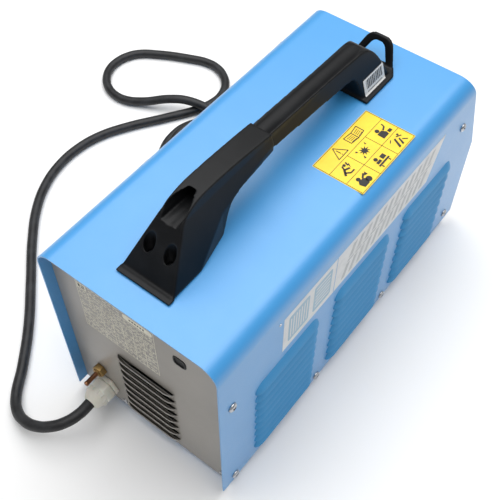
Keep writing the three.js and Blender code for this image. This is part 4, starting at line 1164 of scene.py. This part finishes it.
film.thickness, film.offset = 0.0002, 0
settle(sticker, 40)
seat(sticker, "machine", "black_plastic")


# Underside: a base tray in the cover's blue coat, lipped into it, on four moulded rubber feet.
# Each foot is hollow in the middle, where its screw goes.


REFINED_ANGLE = 35


def refined(name, nodes, finish, edge):
    """A copy of CAD nodes whose sharp edges are broken by a small round."""
    piece = cad_copy(name, nodes, finish, math.radians(0.5))
    return break_edges(piece, edge, 2, REFINED_ANGLE, REFINED_ANGLE)


def fit(name, node, finish, slot, edge, body="machine"):
    """Puts a refined copy of one CAD node in its place."""
    seat(refined(name, [node], finish, edge), body, slot, node)


def spangled(name, colour, roughness=0.34):
    """Zinc-coated sheet: crystals of slightly different grey."""
    sheet = Finish(name, roughness=roughness, metallic=1.0)
    cells = {"Vector": sheet.place, "Scale": 150.0}
    crystals = sheet.node("ShaderNodeTexVoronoi", None, cells, output="Color")
    tone = sheet.node("ShaderNodeSeparateColor", None, {0: crystals})
    dull = sheet.noise(22, 5, 0.6)
    dark = tuple(0.74 * channel for channel in colour)
    sheet.paint(
        Base_Color=sheet.blend(tone * 0.8 + 0.2 * dull, colour, dark),
        Roughness=(roughness - 0.06) + 0.12 * tone + 0.08 * dull,
    )
    sheet.relief(dull, 0.0001, 0.2)
    return sheet


zinc_sheet = spangled("zinc_sheet", (0.52, 0.53, 0.54))
fit("base_tray_sheet", "base_tray", blue_coat, "blue_powder_coat", 0.0003)
foot_rubber = moulded_plastic("foot_rubber", (0.016, 0.016, 0.017), 0.66)
FOOT_PROFILE = [
    (0, 0.0118), (0.0110, 0.0118), (0.0122, 0.0108), (0.0125, 0.0090), (0.0124, 0.0030), (0.0116, 0.0008),
    (0.0104, 0), (0.0060, 0), (0.0052, 0.0008), (0.0048, 0.0052), (0, 0.0052),
]
for end, y in (("front", -0.205), ("rear", 0.205)):
    for side, x in (("left", -0.082), ("right", 0.082)):
        corner = "%s_%s" % (end, side)
        foot = turned("rubber_foot_" + corner, FOOT_PROFILE, (x, y, 0), (0, 0, 1), foot_rubber, 48, 40)
        seat(foot, "machine", "black_rubber", "foot_" + corner)


# Front panel: painted as the rear one. Its upper half leans back and carries the dials and display;
# the scale marks, the frame round the display and the signs at the sockets are printed on it.

fit("front_panel_sheet", "front_panel", grey_paint, "grey_paint", 0.0003)
SLOPE_FOOT_Y, SLOPE_FOOT_Z = -0.2275, 0.1395
SLOPE_RISE = Vector((0, 0.34744, 0.93771))
SLOPE_OUT = Vector((0, -0.93771, 0.34744))
DIAL_X, DIAL_Z = 0.052, 0.196
DIAL_UP = (DIAL_Z - SLOPE_FOOT_Z) / SLOPE_RISE.z


def on_slope(across, up, out):
    return Vector((across, SLOPE_FOOT_Y, SLOPE_FOOT_Z)) + SLOPE_RISE * up + SLOPE_OUT * out


def on_front(across, up, out):
    return Vector((across, SLOPE_FOOT_Y - out, up))


scale_shapes = []
for x in (-DIAL_X, DIAL_X):
    for i in range(21):
        turn = math.radians(225 - 13.5 * i)
        near, far = 0.0175, (0.0215 if i % 2 == 0 else 0.0198)
        scale_shapes.append(limb(x + near * math.cos(turn), DIAL_UP + near * math.sin(turn),
                                 x + far * math.cos(turn), DIAL_UP + far * math.sin(turn), 0.0007))
DISPLAY_UP = (0.238 - SLOPE_FOOT_Z) / SLOPE_RISE.z
FRAME_HALF, FRAME_RISE, FRAME_LINE = 0.036, 0.0142, 0.0006
for low in (-FRAME_RISE, FRAME_RISE - FRAME_LINE):
    low_edge = DISPLAY_UP + low
    scale_shapes.append(bar(-FRAME_HALF, low_edge, FRAME_HALF, low_edge + FRAME_LINE))
for x in (-FRAME_HALF, FRAME_HALF - FRAME_LINE):
    scale_shapes.append(bar(x, DISPLAY_UP - FRAME_RISE, x + FRAME_LINE, DISPLAY_UP + FRAME_RISE))
seat(printed("dial_scales", scale_shapes, on_slope, cream_ink), "machine", "grey_paint")
SOCKET_SIGNS = [
    bar(-0.026, 0.0785, -0.017, 0.080), bar(0.0925, 0.1095, 0.1015, 0.111),
    bar(0.09625, 0.10575, 0.09775, 0.11475), bar(-0.0664, 0.0925, -0.0656, 0.1235),
    bar(-0.0344, 0.0925, -0.0336, 0.1235),
]
seat(printed("socket_signs", SOCKET_SIGNS, on_front, cream_ink), "machine", "grey_paint")

smoked = Finish("smoked_lens", roughness=0.08, Coat_Weight=0.6, Coat_Roughness=0.04)
lens_x, lens_z = smoked.axis("X"), smoked.axis("Z")
in_digit = abs((lens_x + 0.0965) % 0.0145 - 0.00725) < 0.0046
digits = in_digit * (abs(lens_z - 0.238) < 0.0068) * (abs(lens_x) < 0.0285)
glow = digits * (0.5 + 0.5 * smoked.noise(60, 3, 0.6))
smoked.paint(
    Base_Color=smoked.blend(glow, (0.010, 0.003, 0.004), (0.050, 0.008, 0.009)),
    Roughness=0.05 + 0.12 * smoked.noise(35, 5, 0.6),
)
fit("display_window", "display_lens", smoked, "smoked_lens", 0.0006)


# Dials and switch: moulded knobs with fluted sides and a white pointer, and a red rocker in its frame.
# The knobs sit on the leaning part of the front panel, and the switch on the upright part.

knob_black = moulded_plastic("knob_black", (0.011, 0.011, 0.012), 0.46)
pointer_white = ink("pointer_white", (0.80, 0.79, 0.75), (0.62, 0.61, 0.57), 0.45)


def around(piece, count, axis, centre, finish):
    """Repeats a piece, drawn about the axis at the origin, round a centre."""
    def build(tree, given):
        line = add_node(tree, "GeometryNodeMeshLine", {"Count": given["Count"], "Offset": (0, 0, 0)})
        index = add_node(tree, "GeometryNodeInputIndex", {})
        angle = add_node(tree, "ShaderNodeMath", {0: index, 1: given["Step"]}, operation="MULTIPLY")
        spin = add_node(tree, "FunctionNodeAxisAngleToRotation", {"Axis": given["Axis"], "Angle": angle})
        placed = {"Points": line, "Instance": given["Geometry"], "Rotation": spin}
        ring = add_node(tree, "GeometryNodeInstanceOnPoints", placed)
        ring = add_node(tree, "GeometryNodeRealizeInstances", {0: ring})
        return add_node(tree, "GeometryNodeTransform", {"Geometry": ring, "Translation": given["Centre"]})

    return grow(
        piece, build, finish, 40, Count=("Int", count), Step=("Float", 2 * math.pi / count),
        Axis=("Vector", axis), Centre=("Vector", centre),
    )


def flutes(name, radius, low, high, count, wide, axis, centre, finish):
    """A ring of half-round flutes for a grip, between two heights along its axis."""
    turn = Vector((0, 0, 1)).rotation_difference(Vector(axis)).to_matrix()
    sides = 10
    edge = disc(wide, (radius, 0), sides)
    corners = [turn @ Vector((x, y, z)) for z in (low, high) for x, y in edge]
    faces = [(i, (i + 1) % sides, sides + (i + 1) % sides, sides + i) for i in range(sides)]
    faces += [tuple(range(sides - 1, -1, -1)), tuple(range(sides, 2 * sides))]
    flute = new_piece(name, corners, faces, finish)
    return around(flute, count, axis, centre, finish)


for node, x in (("voltage_knob", -DIAL_X), ("wire_speed_knob", DIAL_X)):
    centre = on_slope(x, DIAL_UP, 0)
    knob_body = refined(node + "_body", [node], knob_black, 0.0005)
    grip = flutes(node + "_flutes", 0.0112, 0.0045, 0.0150, 26, 0.0009, SLOPE_OUT, centre, knob_black)
    pointer = printed(
        node + "_pointer", [bar(x - 0.0007, DIAL_UP + 0.0012, x + 0.0007, DIAL_UP + 0.0098)],
        lambda a, u, o: on_slope(a, u, 0.0172 + o), pointer_white, 0.0004,
    )
    seat(merge(node + "_moulding", [knob_body, grip, pointer], 35), node, "black_plastic", node)
fit("switch_frame", "power_switch_frame", knob_black, "black_plastic", 0.0005)
red_plastic = Finish("red_plastic", roughness=0.22, Coat_Weight=0.4, Coat_Roughness=0.12)
red_wear = rub(red_plastic)
red_plastic.paint(
    Base_Color=red_plastic.ramp(red_wear, (0.4, (0.46, 0.012, 0.010)), (0.8, (0.33, 0.012, 0.010))),
    Roughness=0.16 + 0.2 * red_wear,
)
fit("rocker", "power_rocker", red_plastic, "red_plastic", 0.0006, "power_rocker")


# Output sockets: the torch connector is turned brass, and the smaller earth socket is black plastic.
# Both stand out of the lower, upright part of the panel.

fit("torch_connector", "torch_socket", brass, "brass", 0.0005)
fit("earth_connector", "earth_socket", knob_black, "black_plastic", 0.0006)


# Wire-bay door on the right side: one flat steel sheet in the cover's blue coat. It hangs on two
# zinc-plated leaf hinges along its top, and two quarter-turn latches of black plastic hold it shut.

fit("wire_bay_door", "side_door", blue_coat, "blue_powder_coat", 0.0005, "side_door")
for end in ("front", "rear"):
    leaf = "hinge_leaf_" + end
    seat(refined(leaf + "_plate", [leaf], zinc_plate, 0.0002), "machine", "zinc", leaf)
    latch = "door_latch_" + end
    seat(refined(latch + "_knob", [latch], knob_black, 0.0005), latch, "black_plastic", latch)


# Mains plug: a moulded rubber body with finger grooves, and two plated round pins.
# It is moulded onto the lead, and lies next to the coil.

plug_rubber = moulded_plastic("plug_rubber", (0.010, 0.010, 0.011), 0.55)
PLUG_X, PLUG_Z = 0.130, 0.019
PLUG_PROFILE = [
    (0, 0.0005), (0.0074, 0.0005), (0.0078, 0.006), (0.0082, 0.010), (0.0074, 0.012), (0.0084, 0.014),
    (0.0078, 0.016), (0.0092, 0.018), (0.0086, 0.020), (0.0104, 0.0225), (0.0135, 0.027), (0.0158, 0.031),
    (0.0174, 0.0345), (0.0170, 0.037), (0.0184, 0.0395), (0.0178, 0.043), (0.0188, 0.046), (0.0181, 0.0495),
    (0.0190, 0.053), (0.0190, 0.064), (0.0186, 0.068), (0.0172, 0.0697), (0, 0.0697),
]
plug_body = turned("plug_moulding", PLUG_PROFILE, (PLUG_X, 0, PLUG_Z), (0, 1, 0), plug_rubber, 64, 40)
seat(plug_body, "machine", "black_rubber", "mains_plug_body")
nickel = plated("nickel_plate", (0.66, 0.64, 0.58), 0.22)
plug_pins = refined("plug_pins", ["mains_plug_pin_left", "mains_plug_pin_right"], nickel, 0.0006)
seat(plug_pins, "machine", "zinc", "mains_plug_pin_left", "mains_plug_pin_right")


# Inside, behind the cover: the partition, the power board with its heatsink, transformer and choke, and
# the cooling fan at the rear vent.

fit("partition_sheet", "centre_partition", zinc_sheet, "zinc_sheet", 0.0003)

board_green = Finish("green_board", roughness=0.3)
board_y, board_z = board_green.axis("Y"), board_green.axis("Z")
tracks = ((board_y % 0.0052) < 0.0011) * ((board_z % 0.031) < 0.024)
tracks = tracks + ((board_z % 0.0077) < 0.0012) * ((board_y % 0.043) < 0.030)
pad_cells = {"Vector": board_green.place, "Scale": 190.0}
pads = board_green.node("ShaderNodeTexVoronoi", None, pad_cells, output="Distance") < 0.16
etched = board_green.blend(tracks > 0.5, (0.012, 0.090, 0.035), (0.030, 0.150, 0.060))
board_green.paint(
    Base_Color=board_green.blend(pads, etched, (0.50, 0.50, 0.48)),
    Roughness=0.42 - 0.15 * tracks,
)
board_green.relief(tracks + pads, 0.00008, 0.4)
fit("control_board", "power_board", board_green, "green_board", 0.0002)


def milled(name, colour, axis, pitch, roughness=0.3):
    """Extruded or milled metal: fine parallel tool lines."""
    metal = Finish(name, roughness=roughness, metallic=1.0)
    lines = abs((metal.axis(axis) % pitch) * (2 / pitch) - 1)
    cloud = metal.noise(60, 5, 0.6)
    dark = tuple(0.7 * channel for channel in colour)
    metal.paint(
        Base_Color=metal.blend(cloud * 0.7 + 0.2 * lines, colour, dark),
        Roughness=(roughness - 0.05) + 0.15 * cloud,
    )
    metal.relief(lines + 0.3 * cloud, 0.00004, 0.35)
    return metal


aluminium = milled("milled_aluminium", (0.66, 0.67, 0.68), "Z", 0.0008)
fit("heatsink_extrusion", "heatsink", aluminium, "aluminium", 0.0002)

laminations = Finish("core_laminations", roughness=0.5, metallic=0.6)
plates = (laminations.axis("X") % 0.0007) < 0.00016
core_rust = laminations.noise(48, 6, 0.68)
stack_tone = laminations.ramp(core_rust, (0.45, (0.085, 0.085, 0.090)), (0.80, (0.130, 0.080, 0.050)))
laminations.paint(
    Base_Color=laminations.blend(plates, stack_tone, (0.012, 0.012, 0.012)),
    Roughness=0.36 + 0.3 * core_rust,
)
laminations.relief(1 - plates, 0.0001, 0.5)
fit("transformer_stack", "transformer_core", laminations, "ferrite", 0.0003)


def wound(name, colour, shade, axis, pitch, roughness=0.3):
    """Turns of wire lying side by side, with painted shade in the grooves between them."""
    winding = Finish(name, roughness=roughness, metallic=0.85)
    across = (winding.axis(axis) % pitch) * (2 / pitch) - 1
    crown_and_groove_shade = 1 - across * across
    tone = winding.noise(85, 5, 0.6)
    # The base colour runs from the wire's colour on each turn's crown to the painted shade colour in the
    # grooves between turns.
    winding.paint(
        Base_Color=winding.blend(crown_and_groove_shade, shade, winding.blend(tone, colour, tuple(0.75 * c for c in colour))),
        Roughness=(roughness - 0.08) + 0.2 * tone,
    )
    winding.relief(crown_and_groove_shade, pitch * 0.4, 0.8)
    return winding


# Each winding's second colour is the painted shade in the grooves between its turns.
copper_wire = wound("copper_winding", (0.62, 0.26, 0.11), (0.10, 0.035, 0.015), "Z", 0.0021)
fit("transformer_coil", "transformer_winding", copper_wire, "copper_wire", 0.0012)
choke_wire = wound("choke_winding", (0.55, 0.22, 0.09), (0.09, 0.030, 0.012), "X", 0.0026)
fit("choke_coil", "output_choke", choke_wire, "copper_wire", 0.0008)
fan_plastic = moulded_plastic("fan_plastic", (0.014, 0.014, 0.015), 0.44)
fit("fan_housing", "fan_frame", fan_plastic, "black_plastic", 0.0004)
fit("fan_blades", "fan_rotor", fan_plastic, "black_plastic", 0.0003, "fan_rotor")


# Wire bay, behind the door: the braked hub, the spool with its copper-washed wire, and the nut.
# The hub, the spool and the nut are moulded in dark grey plastic.

spool_plastic = moulded_plastic("spool_plastic", (0.030, 0.031, 0.034), 0.42)
fit("braked_hub", "spool_hub", spool_plastic, "black_plastic", 0.0004)
fit("spool_moulding", "wire_spool", spool_plastic, "black_plastic", 0.0006, "wire_spool")
# The wire's second colour is the painted shade in the grooves between its turns.
welding_wire = wound("welding_wire", (0.66, 0.33, 0.17), (0.11, 0.048, 0.022), "X", 0.0010)
fit("wire_layers", "wire_pack", welding_wire, "welding_wire", 0.0006, "wire_spool")
fit("hub_nut", "spool_nut", spool_plastic, "black_plastic", 0.0005, "spool_nut")


# Wire feeder: a milled plate with its geared motor, a grooved drive roll, and a sprung arm that presses
# the idle roller down when its tension knob is turned.

feeder_aluminium = milled("feeder_aluminium", (0.60, 0.61, 0.62), "Y", 0.0007, 0.34)
fit("feeder_plate", "feed_plate", feeder_aluminium, "aluminium", 0.0005)
fit("feeder_motor", "feed_motor", zinc_sheet, "zinc_sheet", 0.0006)
ground_steel = milled("ground_steel", (0.58, 0.58, 0.59), "X", 0.0005, 0.26)
fit("grooved_roll", "drive_roll", ground_steel, "zinc", 0.0004, "drive_roll")
fit("idle_roller", "pressure_roller", ground_steel, "zinc", 0.0004, "pressure_roller")
fit("sprung_arm", "pressure_arm", feeder_aluminium, "aluminium", 0.0005, "pressure_arm")
fit("tension_thumb_knob", "tension_knob", knob_black, "black_plastic", 0.0005, "tension_knob")
